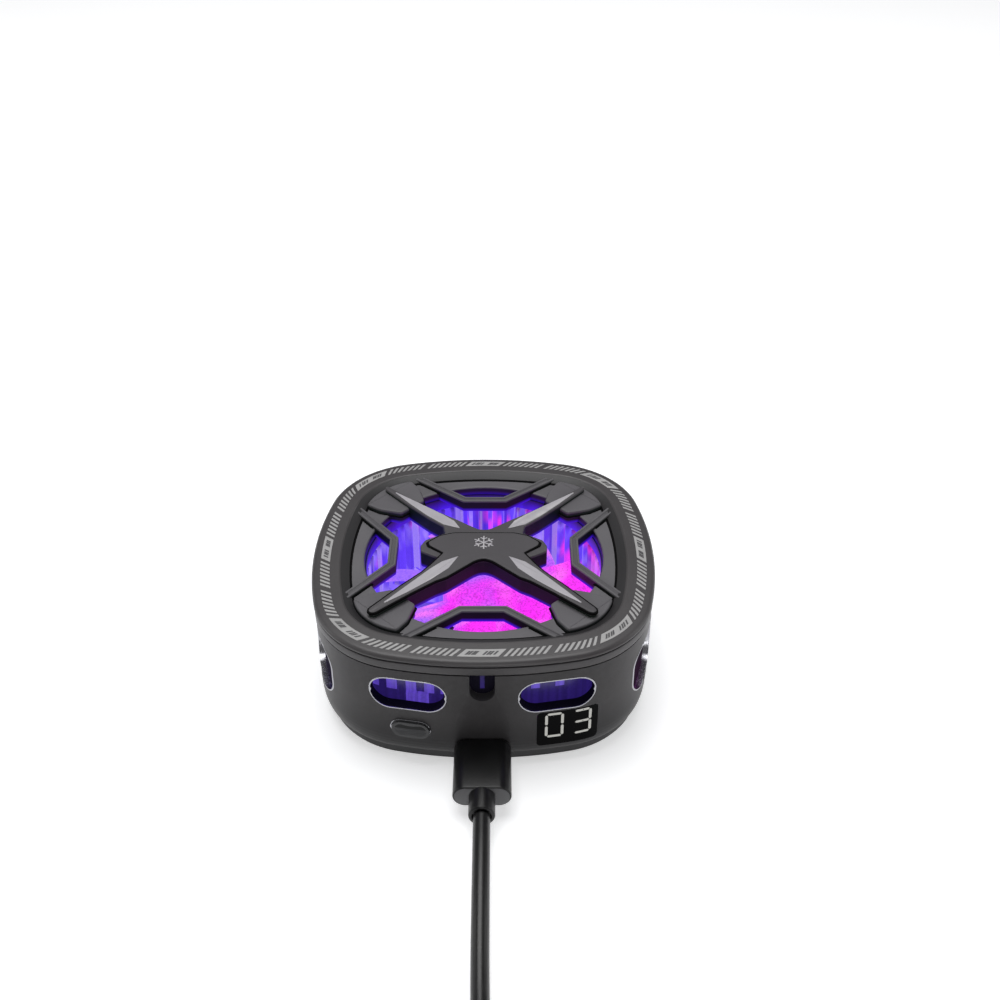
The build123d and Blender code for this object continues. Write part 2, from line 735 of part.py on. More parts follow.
def make_lighting():
    """LED ring board under the bezel's shelf, its LEDs, and the frosted guide ring."""
    guide_top = panel_low
    keep("light_guide", tube(guide_outer_radius, guide_inner_radius,
                             guide_top - light_guide_height, guide_top))
    board_low_face = housing_high - led_board_thickness
    board = shell(inner_inset + light_guide_clearance, board_low_face, housing_high)
    keep("led_board", board - rod(guide_outer_radius + light_guide_clearance,
                                  board_low_face - overrun, housing_high + overrun))
    leds = []
    circle = guide_outer_radius + led_inset_from_guide + led_side / 2
    for i in range(led_count):
        angle = (i + 0.5) * 360 / led_count
        x, y = polar(circle, angle)
        face = Pos(x, y) * Rot(0, 0, angle) * Rectangle(led_side, led_side)
        leds.append(slab(face, board_low_face - led_height, board_low_face))
    keep("leds", *leds)


def make_bezel():
    """Lower band with its shelf, and the crowned top ring with the sloping recess."""
    band = shell(band_inset, housing_high, band_high)
    band -= shell(band_inset + band_wall, housing_high + shelf_thickness, band_high + overrun)
    band -= shell(shelf_inset, housing_high - overrun, band_high)
    keep("lower_bezel", band)
    ring = stepped([(0, bezel_low), (0, shoulder), (edge_round / 3, shoulder + edge_round * 2 / 3),
                    (edge_round, shoulder + edge_round), (crest_inset, crest)])
    recess = stepped([(panel_inset, bezel_low), (crest_inset, crest)])
    throat = shell(panel_inset, bezel_low - overrun, bezel_low)
    keep("top_bezel", ring - recess - throat)


def plate_face():
    """One corner plate, in the corner between +X and +Y, cut to the recess."""
    one_side = scaled(plate_shares, panel_half)
    other_side = [(y, x) for x, y in reversed(one_side)]
    far = plate_far_share * panel_half
    face = make_face(Polyline(*one_side, *other_side, (far, far), close=True))
    return face & outline(panel_inset + fit_gap)


def make_grille():
    """Panel with its round well and cranked struts, and the four corner plates."""
    panel = shell(band_inset + band_wall + light_guide_clearance, panel_low, bezel_low)
    panel -= rod(well_radius, panel_low - overrun, bezel_low + overrun)
    half = scaled(strut_shares, panel_half)
    line = [(-x, y) for x, y in reversed(half) if x] + [point for point in half if point[0]]
    strip = ribbon(line, strut_width)
    crossing = strip & outline(panel_inset + fit_gap)
    inside = strip & Circle(well_radius)
    strut = slab(crossing, bezel_low, bezel_low + strut_proud)
    strut += slab(inside, panel_low, bezel_low)
    for side in sides:
        panel += Rot(0, 0, side * quarter) * strut
    for side in sides:
        panel -= Rot(0, 0, side * quarter) * slab(plate_face(), bezel_low, bezel_low + overrun)
    keep("grille_panel", panel)
    plates = []
    for side in sides:
        face = plate_face()
        top = slab(face, bezel_low, bezel_low + plate_proud)
        top = chamfer(top.edges().group_by(Axis.Z)[-1], plate_chamfer)
        skirt = slab(face & Circle(well_radius - fit_gap), panel_low, bezel_low)
        plate = Rot(0, 0, side * quarter) * (top + skirt)
        for turn in sides:
            plate -= Rot(0, 0, turn * quarter) * slab(inside, panel_low - overrun, bezel_low)
        plates.append(plate)
    keep("corner_plates", *plates)


def arm_face(angle, shares):
    """A flat shape along one diagonal, skewed to the same side on both halves."""
    side = -1 if quarter < angle < 3 * quarter else 1
    points = [(along * cross_half, side * aside * cross_half) for along, aside in shares]
    return Rot(0, 0, angle) * make_face(Polyline(*points, close=True))


def hub_face(shares):
    return make_face(Polyline(*mirrored(scaled(shares, cross_half)), close=True))


def make_cross():
    """Rear arms with the hub under the cap, the cap with the front arms, and the inlays."""
    plate_top = bezel_low + plate_proud
    seats = [Rot(0, 0, side * quarter) * slab(plate_face(), panel_low - overrun, plate_top)
             for side in sides]
    rear_angles, front_angles = corner_angles()[:2], corner_angles()[2:]
    cap_low = cap_high - cap_thickness
    rear_face = hub_face(rear_hub_shares)
    for angle in rear_angles:
        rear_face += arm_face(angle, rear_arm_shares)
    front_face = hub_face(cap_shares)
    for angle in front_angles:
        front_face += arm_face(angle, front_arm_shares)
    rear = slab(rear_face, cross_low, rear_high)
    rear = chamfer(rear.edges().group_by(Axis.Z)[-1], cross_chamfer)
    front = slab(front_face, cross_low, cap_high)
    front = chamfer(front.edges().group_by(Axis.Z)[-1], cross_chamfer)
    rear -= slab(front_face, cap_low, cap_high)
    front -= slab(rear_face, cross_low - overrun, cap_low)
    inlays = []
    for angles, shares, high in ((rear_angles, rear_inlay_shares, rear_high),
                                 (front_angles, inlay_shares, cap_high)):
        inlays += [slab(arm_face(angle, shares), high - inlay_depth, high) for angle in angles]
    for cut in seats + inlays:
        rear -= cut
        front -= cut
    keep("rear_cross_arms", rear)
    keep("front_cross_cover", front)
    keep("cross_inlays", *inlays)


def make_plug():
    """USB-C plug of the lead: metal shell, moulded body and short round neck."""
    face = Plane((0, plug_face, port_middle), x_dir=(1, 0, 0), z_dir=(0, -1, 0))
    outer = extrude(face * capsule(plug_shell_width, plug_shell_height), amount=-plug_shell_length)
    inner = capsule(plug_shell_width, plug_shell_height, -plug_shell_wall)
    outer -= extrude(face * inner, amount=-plug_shell_length - overrun)
    keep("usb_c_plug_shell", outer)
    body = extrude(face * capsule(overmold_width, overmold_height), amount=overmold_length)
    body = chamfer(body.edges().group_by(Axis.Y)[0], overmold_chamfer)
    keep("usb_c_overmold", body)
    back = Plane((0, plug_face - overmold_length, port_middle), z_dir=(0, -1, 0))
    neck = extrude(back * Circle(neck_radius), amount=neck_length)
    keep("cable_neck", chamfer(neck.edges().group_by(Axis.Y)[0], neck_chamfer))


def corner_radii(points):
    """Each bend's radius: 0.45 of its shorter run over the tangent of half its turn."""
    share = 0.45
    radii = []
    for before, point, after in zip(points, points[1:], points[2:]):
        run_in, run_out = point - before, after - point
        half_turn = math.radians(run_in.get_angle(run_out)) / 2
        radii.append(share * min(run_in.length, run_out.length) / math.tan(half_turn))
    return radii


def free_tube(name, points):
    """A stretch of cable: straight runs joined by arcs as large as the runs allow."""
    radii = corner_radii(points)
    path = FilletPolyline(*points, radius=radii)
    path = path.wire() if hasattr(path, "wire") else path
    direction = (points[1] - points[0]).normalized()
    section = Plane(points[0], z_dir=direction) * Circle(cable_radius)
    stretch = sweep(section, path=path)
    keep(name, stretch)
    expected = math.pi * cable_radius ** 2 * path.length
    print(name, "length", round(path.length, 2), "bend radii", [round(r, 1) for r in radii],
          "volume", round(stretch.volume, 2), "section times length", round(expected, 2))
    return path.length


def half_turn(start, heading, radius, rise):
    """Half a turn to the right of the heading, as two quarter arcs that share their rise."""
    right = Vector(heading.Y, -heading.X)
    end = start + right * (2 * radius) + Vector(0, 0, rise)
    span = (end - start).length / 2
    middle = (start + end) * 0.5 + heading * span
    halfway = (end + heading * span) - (start + heading * span)
    first = TangentArc(start, middle, tangent=heading)
    second = TangentArc(middle, end, tangent=halfway.normalized())
    return [first, second], end


def least_gap(path, diameter, step=1.2):
    """The least clear space between two turns, measured on points along the coil."""
    count = int(path.length / step)
    points = [path.position_at(i / count) for i in range(count + 1)]
    skip = int(3 * diameter / step)
    nearest = min((points[i] - points[j]).length
                  for i in range(len(points)) for j in range(i + skip, len(points)))
    return nearest - diameter


def make_cable():
    """The free stretch, the two-layer coil, the tail and the ties round the coil."""
    diameter = 2 * cable_radius
    route = [Vector(*point) for point in cable_points]
    total = free_tube("cable", route)

    heading = Vector(0, -1, 0)
    here = route[-1]
    edges = [Line(here, here + heading * coil_stub)]
    here = here + heading * coil_stub
    entry = here
    inward = [coil_first_radius - k * coil_step for k in range(inward_half_turns)]
    outward = [inward[-1] + k * coil_step for k in range(outward_half_turns)]
    turns = [(radius, 0) for radius in inward]
    turns.append((inward[-1] - coil_step, coil_layer_pitch))
    turns += [(radius, 0) for radius in outward]
    reach = {1: [], -1: []}
    for radius, rise in turns:
        arcs, end = half_turn(here, heading, radius, rise)
        reach[round(heading.Y)].append(((here.X + end.X) / 2, radius))
        edges += arcs
        here, heading = end, -heading
    edges.append(Line(here, here + heading * coil_stub))
    path = Wire(edges)
    section = Plane(route[-1], z_dir=(0, -1, 0)) * Circle(cable_radius)
    coil = sweep(section, path=path)
    keep("cable_coil", coil)
    expected = math.pi * cable_radius ** 2 * path.length
    print("cable_coil length", round(path.length, 1), "tightest radius",
          round(min(radius for radius, rise in turns), 2), "least gap",
          round(least_gap(path, diameter), 3), "volume", round(coil.volume, 1),
          "section times length", round(expected, 1))
    total += path.length

    coil_end = here + heading * coil_stub
    tail = [coil_end + Vector(*step) for step in tail_steps]
    total += free_tube("cable_tail", tail)
    print("whole lead between its moulded necks", round(total, 1))

    low = route[-1].Z - cable_radius - tie_gap
    high = route[-1].Z + coil_layer_pitch + cable_radius + tie_gap
    bands = []
    for side, turned in reach.items():
        middle_x = sum(x for x, radius in turned) / len(turned)
        edge = tie_width / 2
        inner = min(math.sqrt(radius ** 2 - (abs(x - middle_x) + edge) ** 2)
                    for x, radius in turned)
        near = inner - cable_radius - tie_gap
        far = max(radius for x, radius in turned) + cable_radius + tie_gap
        wide = far - near
        tall = high - low
        middle = Vector(middle_x, entry.Y + side * (near + far) / 2, (low + high) / 2)
        across = Plane(middle, x_dir=(0, 1, 0), z_dir=(1, 0, 0))
        strap = RectangleRounded(wide + 2 * tie_thickness, tall + 2 * tie_thickness,
                                 cable_radius + tie_thickness)
        window = RectangleRounded(wide, tall, cable_radius)
        band = extrude(across * (strap - window), amount=tie_width / 2, both=True)
        bands.append(band)
        print("tie", "reach", round(near, 2), round(far, 2), "low", round(low - tie_thickness, 3))
    keep("coil_ties", *bands)
    return tail[-1]


def make_usb_a(start):
    """The lead's far plug: neck, moulded body, metal shell, tongue and contacts."""
    facing = Plane(start, x_dir=(1, 0, 0), z_dir=(0, -1, 0))
    keep("usb_a_neck", extrude(facing * Circle(usb_a_neck_radius), amount=usb_a_neck_length))
    facing = facing.offset(usb_a_neck_length)
    body = RectangleRounded(usb_a_body_width, usb_a_body_height, usb_a_body_corner)
    body = extrude(facing * body, amount=usb_a_body_length)
    ends = body.edges().group_by(Axis.Y)
    keep("usb_a_overmold", chamfer(ends[0] + ends[-1], overmold_chamfer))
    facing = facing.offset(usb_a_body_length)
    case = Rectangle(usb_a_shell_width, usb_a_shell_height)
    inside = offset(case, -usb_a_shell_wall)
    keep("usb_a_shell", extrude(facing * (case - inside), amount=usb_a_shell_length))
    wide = usb_a_shell_width - 2 * usb_a_shell_wall
    drop = usb_a_shell_height / 2 - usb_a_shell_wall - usb_a_tongue_height / 2
    tongue_length_a = usb_a_shell_length - usb_a_tongue_setback
    tongue = Pos(0, drop) * Rectangle(wide, usb_a_tongue_height)
    keep("usb_a_tongue", extrude(facing * tongue, amount=tongue_length_a))
    contacts = []
    for i in range(usb_a_contact_count):
        x = (i - (usb_a_contact_count - 1) / 2) * usb_a_contact_pitch
        y = drop - usb_a_tongue_height / 2 - usb_a_contact_thickness / 2
        strip = Pos(x, y) * Rectangle(usb_a_contact_width, usb_a_contact_thickness)
        contacts.append(extrude(facing * strip, amount=tongue_length_a - usb_a_tongue_setback))
    keep("usb_a_contacts", *contacts)


post_reach = make_base()
make_cooling_stack()
make_heat_sink()
make_motor()
make_rotor()
make_housing(post_reach)
make_controls()
make_port()
make_lighting()
make_bezel()
make_grille()
make_cross()
make_plug()
cable_end = make_cable()
make_usb_a(cable_end)

for name, solid in parts.items():
    export_step(solid, f"parts/{name}.step")
print(len(parts), "nodes written")
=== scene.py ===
import math
import bmesh
import bpy
import numpy as np
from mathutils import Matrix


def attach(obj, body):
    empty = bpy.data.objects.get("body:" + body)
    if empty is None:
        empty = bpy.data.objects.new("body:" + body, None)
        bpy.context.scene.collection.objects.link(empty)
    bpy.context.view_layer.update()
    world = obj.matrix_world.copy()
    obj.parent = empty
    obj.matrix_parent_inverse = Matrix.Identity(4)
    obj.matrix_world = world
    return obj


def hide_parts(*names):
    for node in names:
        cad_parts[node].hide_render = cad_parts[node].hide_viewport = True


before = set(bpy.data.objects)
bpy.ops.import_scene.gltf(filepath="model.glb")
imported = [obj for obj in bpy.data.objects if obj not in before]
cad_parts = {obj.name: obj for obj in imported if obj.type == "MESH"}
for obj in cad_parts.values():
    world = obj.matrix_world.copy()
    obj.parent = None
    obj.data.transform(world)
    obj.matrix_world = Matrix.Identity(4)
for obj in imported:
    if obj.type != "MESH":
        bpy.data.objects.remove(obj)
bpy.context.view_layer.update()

# Sizes below are in millimetres and meshes are in metres. The cooler stands on z = 0 with its plug
# towards -Y. Its outline is a rounded square of four side arcs and four corner arcs.
mm = 0.001
quarter = math.pi / 2
caseShape = {"half": 33.0, "sideRadius": 74.7, "cornerRadius": 18.9, "sideSteps": 14, "cornerSteps": 22}


def caseCentres():
    # the corner arc's centre lies where the two side arcs' normals through its ends cross
    back = caseShape["sideRadius"] - caseShape["half"]
    apart = caseShape["sideRadius"] - caseShape["cornerRadius"]
    corner = (math.sqrt(2 * apart ** 2 - back ** 2) - back) / 2
    return back, corner, math.atan2(corner, corner + back)


sideBack, cornerPlace, sideTurn = caseCentres()


def outlineAt(turn, inset):
    # point = arc centre + (arc radius - inset) * normal, with the normal at the angle turn
    turn, inset = np.broadcast_arrays(np.asarray(turn, float), np.asarray(inset, float))
    facing = np.round(turn / quarter) * quarter
    onSide = np.abs(turn - facing) <= sideTurn + 1e-9
    x = np.where(onSide, -sideBack * np.cos(facing), cornerPlace * np.sign(np.cos(turn)))
    y = np.where(onSide, -sideBack * np.sin(facing), cornerPlace * np.sign(np.sin(turn)))
    reach = np.where(onSide, caseShape["sideRadius"], caseShape["cornerRadius"]) - inset
    return x + reach * np.cos(turn), y + reach * np.sin(turn)


def turnsAround():
    # normal angles of one loop, spaced finer on the tight corner arcs
    side = np.linspace(-sideTurn, sideTurn, caseShape["sideSteps"], endpoint=False)
    corner = np.linspace(sideTurn, quarter - sideTurn, caseShape["cornerSteps"], endpoint=False)
    one = np.concatenate([side, corner])
    return (one[None, :] + quarter * np.arange(4)[:, None]).ravel()


def wallDepth(across, inset):
    # how far the front wall's surface stands from the middle plane, for a place across it
    across = np.abs(np.asarray(across, float))
    sideReach = caseShape["sideRadius"] - inset
    cornerReach = caseShape["cornerRadius"] - inset
    side = np.sqrt(np.maximum(sideReach ** 2 - across ** 2, 0)) - sideBack
    corner = cornerPlace + np.sqrt(np.maximum(cornerReach ** 2 - (across - cornerPlace) ** 2, 0))
    return np.where(across <= sideReach * math.sin(sideTurn), side, corner)


def gridFaces(rows, columns, wrapRows=False, wrapColumns=False):
    # quads between neighbouring rows and columns of a grid of points
    r = np.arange(rows if wrapRows else rows - 1)
    c = np.arange(columns if wrapColumns else columns - 1)
    r, c = np.meshgrid(r, c, indexing="ij")
    nextRow, nextColumn = (r + 1) % rows, (c + 1) % columns
    quads = np.stack([r * columns + c, r * columns + nextColumn,
                      nextRow * columns + nextColumn, nextRow * columns + c], -1)
    return quads.reshape(-1, 4).tolist()


def joined(shapes):
    # several (points, faces) shapes as one, with the faces' numbers moved on
    points, faces, start = [], [], 0
    for shapePoints, shapeFaces in shapes:
        points.append(np.asarray(shapePoints, float).reshape(-1, 3))
        faces += [[i + start for i in face] for face in shapeFaces]
        start += len(points[-1])
    return np.concatenate(points), faces


def outward(points, faces):
    # a closed shape whose signed volume is negative has its faces turned over
    volume = 0.0
    for face in faces:
        a = points[face[0]]
        fan = points[face[1:]]
        volume += np.einsum("ij,ij->", np.cross(fan[:-1] - a, fan[1:] - a), np.broadcast_to(a, fan[1:].shape))
    return faces if volume > 0 else [face[::-1] for face in faces]


def closeDoubles(mesh):
    # points that have met are merged, and faces left without area go
    work = bmesh.new()
    work.from_mesh(mesh)
    bmesh.ops.remove_doubles(work, verts=work.verts, dist=1e-7)
    work.to_mesh(mesh)
    work.free()
    mesh.validate()


def addObject(name, data):
    thing = bpy.data.objects.new(name, data)
    bpy.context.scene.collection.objects.link(thing)
    return thing


def addPiece(name, shapes, finish, body="cooler", replaced=(), sharpFrom=38.0):
    # shapes are (points in mm, faces); each is turned outwards and all become one mesh
    shapes = [(points, outward(np.asarray(points, float).reshape(-1, 3), faces)) for points, faces in shapes]
    points, faces = joined(shapes)
    mesh = bpy.data.meshes.new(name)
    mesh.from_pydata((points * mm).tolist(), [], faces)
    closeDoubles(mesh)
    mesh.polygons.foreach_set("use_smooth", np.ones(len(mesh.polygons), bool))
    mesh.set_sharp_from_angle(angle=math.radians(sharpFrom))
    mesh.materials.append(finish)
    piece = addObject(name, mesh)
    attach(piece, body)
    if replaced:
        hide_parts(*replaced)


def softCorners(points, radius, steps=4):
    # each corner becomes a quadratic curve from radius before it to radius after it
    points = np.asarray(points, float)
    radius = np.broadcast_to(np.asarray(radius, float), len(points))
    before, after = np.roll(points, 1, 0) - points, np.roll(points, -1, 0) - points
    longBefore, longAfter = np.linalg.norm(before, axis=1), np.linalg.norm(after, axis=1)
    cutBefore = np.minimum(radius, longBefore * 0.45)
    cutAfter = np.minimum(radius, longAfter * 0.45)
    start = points + before * (cutBefore / longBefore)[:, None]
    end = points + after * (cutAfter / longAfter)[:, None]
    t = np.linspace(0, 1, steps)[None, :, None]
    curve = (1 - t) ** 2 * start[:, None] + 2 * t * (1 - t) * points[:, None] + t ** 2 * end[:, None]
    return curve.reshape(-1, points.shape[1])


def anticlockwise(points):
    x, y = points[:, 0], points[:, 1]
    return points if np.sum(x * np.roll(y, -1) - y * np.roll(x, -1)) > 0 else points[::-1]


def shrunk(points, distance):
    # the loop moved inwards: each point goes along the mitre of its two edges
    edge = np.roll(points, -1, 0) - points
    edge /= np.maximum(np.linalg.norm(edge, axis=1), 1e-9)[:, None]
    inwards = np.stack([-edge[:, 1], edge[:, 0]], 1)
    mitre = inwards + np.roll(inwards, 1, 0)
    length = np.maximum(np.sum(mitre ** 2, 1), 0.5)
    moved = points + mitre * (2 * distance / length)[:, None]
    for sweep in range(4):   # an edge that has folded over closes to its middle
        folded = np.sum((np.roll(moved, -1, 0) - moved) * edge, 1) < 0
        middle = (moved + np.roll(moved, -1, 0)) / 2
        moved = np.where(folded[:, None], middle, moved)
        moved = np.where(np.roll(folded, 1)[:, None], np.roll(middle, 1, 0), moved)
    return moved


def capped(grid):
    # rows of points round a closed section, with a face over each end
    grid = np.stack(grid)
    rows, columns = grid.shape[:2]
    last = (rows - 1) * columns
    ends = [list(range(columns))[::-1], list(range(last, last + columns))]
    return grid, gridFaces(rows, columns, wrapColumns=True) + ends


def ringed(grid):
    # rows of points round a loop, whose last row meets the first again
    grid = np.stack(grid)
    return grid, gridFaces(*grid.shape[:2], True, True)


def quarterRound(radius, height, steps, side=1):
    # (inwards, height) along a quarter circle that ends at the height, coming from below it, or
    # from above it where side is -1
    return [(radius * (1 - math.cos(b)), height - side * radius * (1 - math.sin(b)))
            for b in np.linspace(0, quarter, steps)]


def strip(start, end, width):
    # the corners of a straight strip
    along = (end - start) / np.linalg.norm(end - start)
    aside = np.array([-along[1], along[0]]) * width / 2
    return np.array([start - aside, end - aside, end + aside, start + aside])


def atHeight(flat, height):
    return np.column_stack([flat, np.full(len(flat), height)])


def raisedPlate(points, low, high, edge=0.2, corner=0.35, steps=3):
    # a flat shape with rounded corners, upright walls, and an upper rim rounded over a quarter circle
    loop = anticlockwise(softCorners(points, corner))
    levels = [(0, low)] + quarterRound(edge, high, steps + 1) + [(edge * 1.25, high)]
    return capped([atHeight(shrunk(loop, inset), z) for inset, z in levels])


def sweptRing(profile):
    # a closed profile of (inset, height) carried round the case outline
    inset, height = np.asarray(profile, float).T
    x, y = outlineAt(turnsAround()[None, :], inset[:, None])
    return ringed(np.stack([x, y, np.broadcast_to(height[:, None], x.shape)], -1))


def lathed(profile, steps=96):
    # a closed profile of (radius, height) turned about the middle axis
    radius, height = np.asarray(profile, float).T[:, :, None]
    turn = np.linspace(0, 2 * math.pi, steps, endpoint=False)
    x, y = radius * np.cos(turn), radius * np.sin(turn)
    return ringed(np.stack([x, y, np.broadcast_to(height, x.shape)], -1))


def turned(shape, angle):
    # the shape turned about the middle axis
    points = np.asarray(shape[0], float).reshape(-1, 3)
    c, s = math.cos(angle), math.sin(angle)
    x, y, z = points.T
    return np.column_stack([c * x - s * y, s * x + c * y, z]), shape[1]


def onSides(shapes, sides=range(4)):
    # each shape once for each of the case's sides
    return [turned(shape, side * quarter) for shape in shapes for side in sides]


def mirroredRight(shares, size):
    # an outline given for its right half, from the middle line's top to its bottom
    right = np.asarray(shares, float) * size
    left = right[::-1][right[::-1][:, 0] > 1e-6] * (-1, 1)
    return np.concatenate([right, left])


# Finishes. Colours are written as they look, and turned to linear light for the shader.
def ink(text):
    value = np.array([int(text[i:i + 2], 16) for i in (1, 3, 5)]) / 255
    linear = np.where(value <= 0.04045, value / 12.92, ((value + 0.055) / 1.055) ** 2.4)
    return (*linear.tolist(), 1.0)


def setSockets(tree, node, values):
    # each value is a constant for its socket, or another node's socket to link there
    for key, value in values.items():
        if isinstance(value, bpy.types.NodeSocket):
            tree.links.new(value, node.inputs[key])
        else:
            node.inputs[key].default_value = value


def addNode(tree, kind, values=None, **settings):
    node = tree.nodes.new("ShaderNode" + kind)
    for key, value in settings.items():
        setattr(node, key, value)
    setSockets(tree, node, values or {})
    return node.outputs


def maths(tree, operation, *values, clamp=False):
    return addNode(tree, "Math", dict(enumerate(values)), operation=operation, use_clamp=clamp)[0]


def vectorMaths(tree, operation, vector, other=None):
    values = {0: vector}
    if other is not None:
        values["Scale" if operation == "SCALE" else 1] = other
    outputs = addNode(tree, "VectorMath", values, operation=operation)
    return outputs["Value" if operation in ("DOT_PRODUCT", "LENGTH") else "Vector"]


def noise(tree, place, scale, detail, roughness=0.5, alongLine=False):
    values = {"W" if alongLine else "Vector": place, "Scale": scale, "Detail": detail, "Roughness": roughness}
    return addNode(tree, "TexNoise", values, noise_dimensions="1D" if alongLine else "3D")["Fac"]


def ranged(tree, value, low, high, least=0.0, most=1.0, **settings):
    # the value's way from low to high, taken from least to most
    values = {"Value": value, "From Min": low, "From Max": high, "To Min": least, "To Max": most}
    return addNode(tree, "MapRange", values, **settings)[0]


def rampBelow(tree, top, value, depth):
    # 0 at the top and above it, 1 from the depth below it on
    return maths(tree, "DIVIDE", maths(tree, "SUBTRACT", top, value), depth, clamp=True)


def mixed(tree, share, a, b):
    return addNode(tree, "Mix", {"Factor": share, "A": a, "B": b}, data_type="RGBA")["Result"]


def newGroup(name, inputs, outputs):
    # inputs are numbers, vectors, or colours where None stands, and the place comes before them
    group = bpy.data.node_groups.new(name, "ShaderNodeTree")
    for label, value in {"Place": (0.0, 0.0, 0.0), **inputs}.items():
        kind = "Color" if value is None else "Float" if isinstance(value, float) else "Vector"
        socket = group.interface.new_socket(name=label, in_out="INPUT", socket_type="NodeSocket" + kind)
        if value is not None:
            socket.default_value = value
    for label in outputs:
        kind = "Color" if label == "Colour" else "Float"
        group.interface.new_socket(name=label, in_out="OUTPUT", socket_type="NodeSocket" + kind)
    return group, group.nodes.new("NodeGroupInput").outputs, group.nodes.new("NodeGroupOutput")


def buildSkinGrain():
    # moulded skin: fine grain and broad cloudiness shift the colour and the roughness
    group, given, result = newGroup("skinGrain", {
        "Colour": None, "Shade": None, "Grain": 4000.0, "Cloud": 90.0, "Least Roughness": 0.35,
        "Most Roughness": 0.5}, ("Colour", "Roughness", "Height"))
    fine = noise(group, given["Place"], given["Grain"], 3.0, 0.6)
    broad = noise(group, given["Place"], given["Cloud"], 4.0, 0.55)
    blend = maths(group, "MULTIPLY_ADD", fine, 0.4, maths(group, "MULTIPLY", broad, 0.6))
    setSockets(group, result, {
        "Colour": mixed(group, ranged(group, blend, 0.35, 0.75), given["Colour"], given["Shade"]),
        "Roughness": ranged(group, blend, 0.3, 0.7, given["Least Roughness"], given["Most Roughness"]),
        "Height": fine})
    return group


def buildEdgeSheen():
    # painted highlight: the rounded edges of a mesh stand out lighter by their pointiness, broken up by noise
    group, given, result = newGroup("edgeSheen", {"Colour": None, "Sheen": None, "Amount": 0.5}, ["Colour"])
    edge = ranged(group, addNode(group, "NewGeometry")["Pointiness"], 0.52, 0.66)
    patchy = ranged(group, noise(group, given["Place"], 600.0, 3.0), 0.35, 0.65, 0.35)
    share = maths(group, "MULTIPLY", maths(group, "MULTIPLY", edge, patchy), given["Amount"])
    setSockets(group, result, {"Colour": mixed(group, share, given["Colour"], given["Sheen"])})
    return group


def buildBrushedMetal():
    # noise drawn out along one axis gives brush marks in colour, roughness and height
    group, given, result = newGroup("brushedMetal", {
        "Colour": None, "Shade": None, "Stretch": (4000.0, 200.0, 4000.0), "Least Roughness": 0.25,
        "Most Roughness": 0.4}, ("Colour", "Roughness", "Height"))
    marks = noise(group, vectorMaths(group, "MULTIPLY", given["Place"], given["Stretch"]), 1.0, 4.0)
    setSockets(group, result, {
        "Colour": mixed(group, marks, given["Colour"], given["Shade"]),
        "Roughness": ranged(group, marks, 0.3, 0.7, given["Least Roughness"], given["Most Roughness"]),
        "Height": marks})
    return group


def buildLightField():
    # coloured light in the well: one hue towards the front right, the other towards the rear
    # left, clouded by broad noise, with pale strips and patches, bands and fine speckle
    group, given, result = newGroup("lightField", {
        "Warm": None, "Cool": None, "Toward": (0.75, -0.66, 0.0), "Middle": 0.0, "Softness": 0.006,
        "Cloud": 0.008, "Speckle": 0.4, "Bands": 12.0, "Band Depth": 0.0, "Top": 1.0, "Fade": 0.003,
        "Pale": None, "Pale Strips": 0.0, "Pale Patches": 0.0}, ("Colour", "Height"))
    place = given["Place"]
    part = addNode(group, "SeparateXYZ", {0: place})
    cloud = maths(group, "SUBTRACT", noise(group, place, 110.0, 1.0), 0.5)
    toward = vectorMaths(group, "DOT_PRODUCT", place, given["Toward"])
    clouded = maths(group, "MULTIPLY_ADD", cloud, given["Cloud"], toward)
    slope = maths(group, "DIVIDE", maths(group, "SUBTRACT", clouded, given["Middle"]), given["Softness"])
    warmShare = ranged(group, slope, -1.0, 1.0, interpolation_type="SMOOTHSTEP")
    hue = mixed(group, warmShare, given["Cool"], given["Warm"])
    around = maths(group, "MULTIPLY", maths(group, "ARCTAN2", part["Y"], part["X"]), given["Bands"])
    strips = ranged(group, noise(group, around, 1.7, 2.0, alongLine=True), 0.54, 0.68)
    patches = ranged(group, noise(group, place, 150.0, 1.0), 0.5, 0.7)
    pale = maths(group, "MAXIMUM", maths(group, "MULTIPLY", strips, given["Pale Strips"]),
                 maths(group, "MULTIPLY", patches, given["Pale Patches"]))
    bandLeast = maths(group, "SUBTRACT", 1.0, given["Band Depth"])
    bands = ranged(group, noise(group, around, 1.0, 2.0, alongLine=True), 0.38, 0.62, bandLeast)
    level = maths(group, "MULTIPLY", rampBelow(group, given["Top"], part["Z"], given["Fade"]), bands)
    fine = noise(group, place, 2600.0, 2.0)
    grain = ranged(group, fine, 0.35, 0.65, maths(group, "SUBTRACT", 1.0, given["Speckle"]))
    light = vectorMaths(group, "SCALE", mixed(group, pale, hue, given["Pale"]),
                        maths(group, "MULTIPLY", grain, level))
    setSockets(group, result, {"Colour": light, "Height": fine})
    return group


def buildWellSpill():
    # the well's light on the walls round it: strongest low down, gone outside its radius
    group, given, result = newGroup("wellSpill", {
        "Colour": None, "Top": 0.0244, "Depth": 0.0016, "Reach": 0.0234, "Edge": 0.0006}, ["Colour"])
    part = addNode(group, "SeparateXYZ", {0: given["Place"]})
    flat = addNode(group, "CombineXYZ", {"X": part["X"], "Y": part["Y"]})[0]
    low = rampBelow(group, given["Top"], part["Z"], given["Depth"])
    inside = rampBelow(group, given["Reach"], vectorMaths(group, "LENGTH", flat), given["Edge"])
    light = vectorMaths(group, "SCALE", given["Colour"], maths(group, "MULTIPLY", low, inside))
    setSockets(group, result, {"Colour": light})
    return group


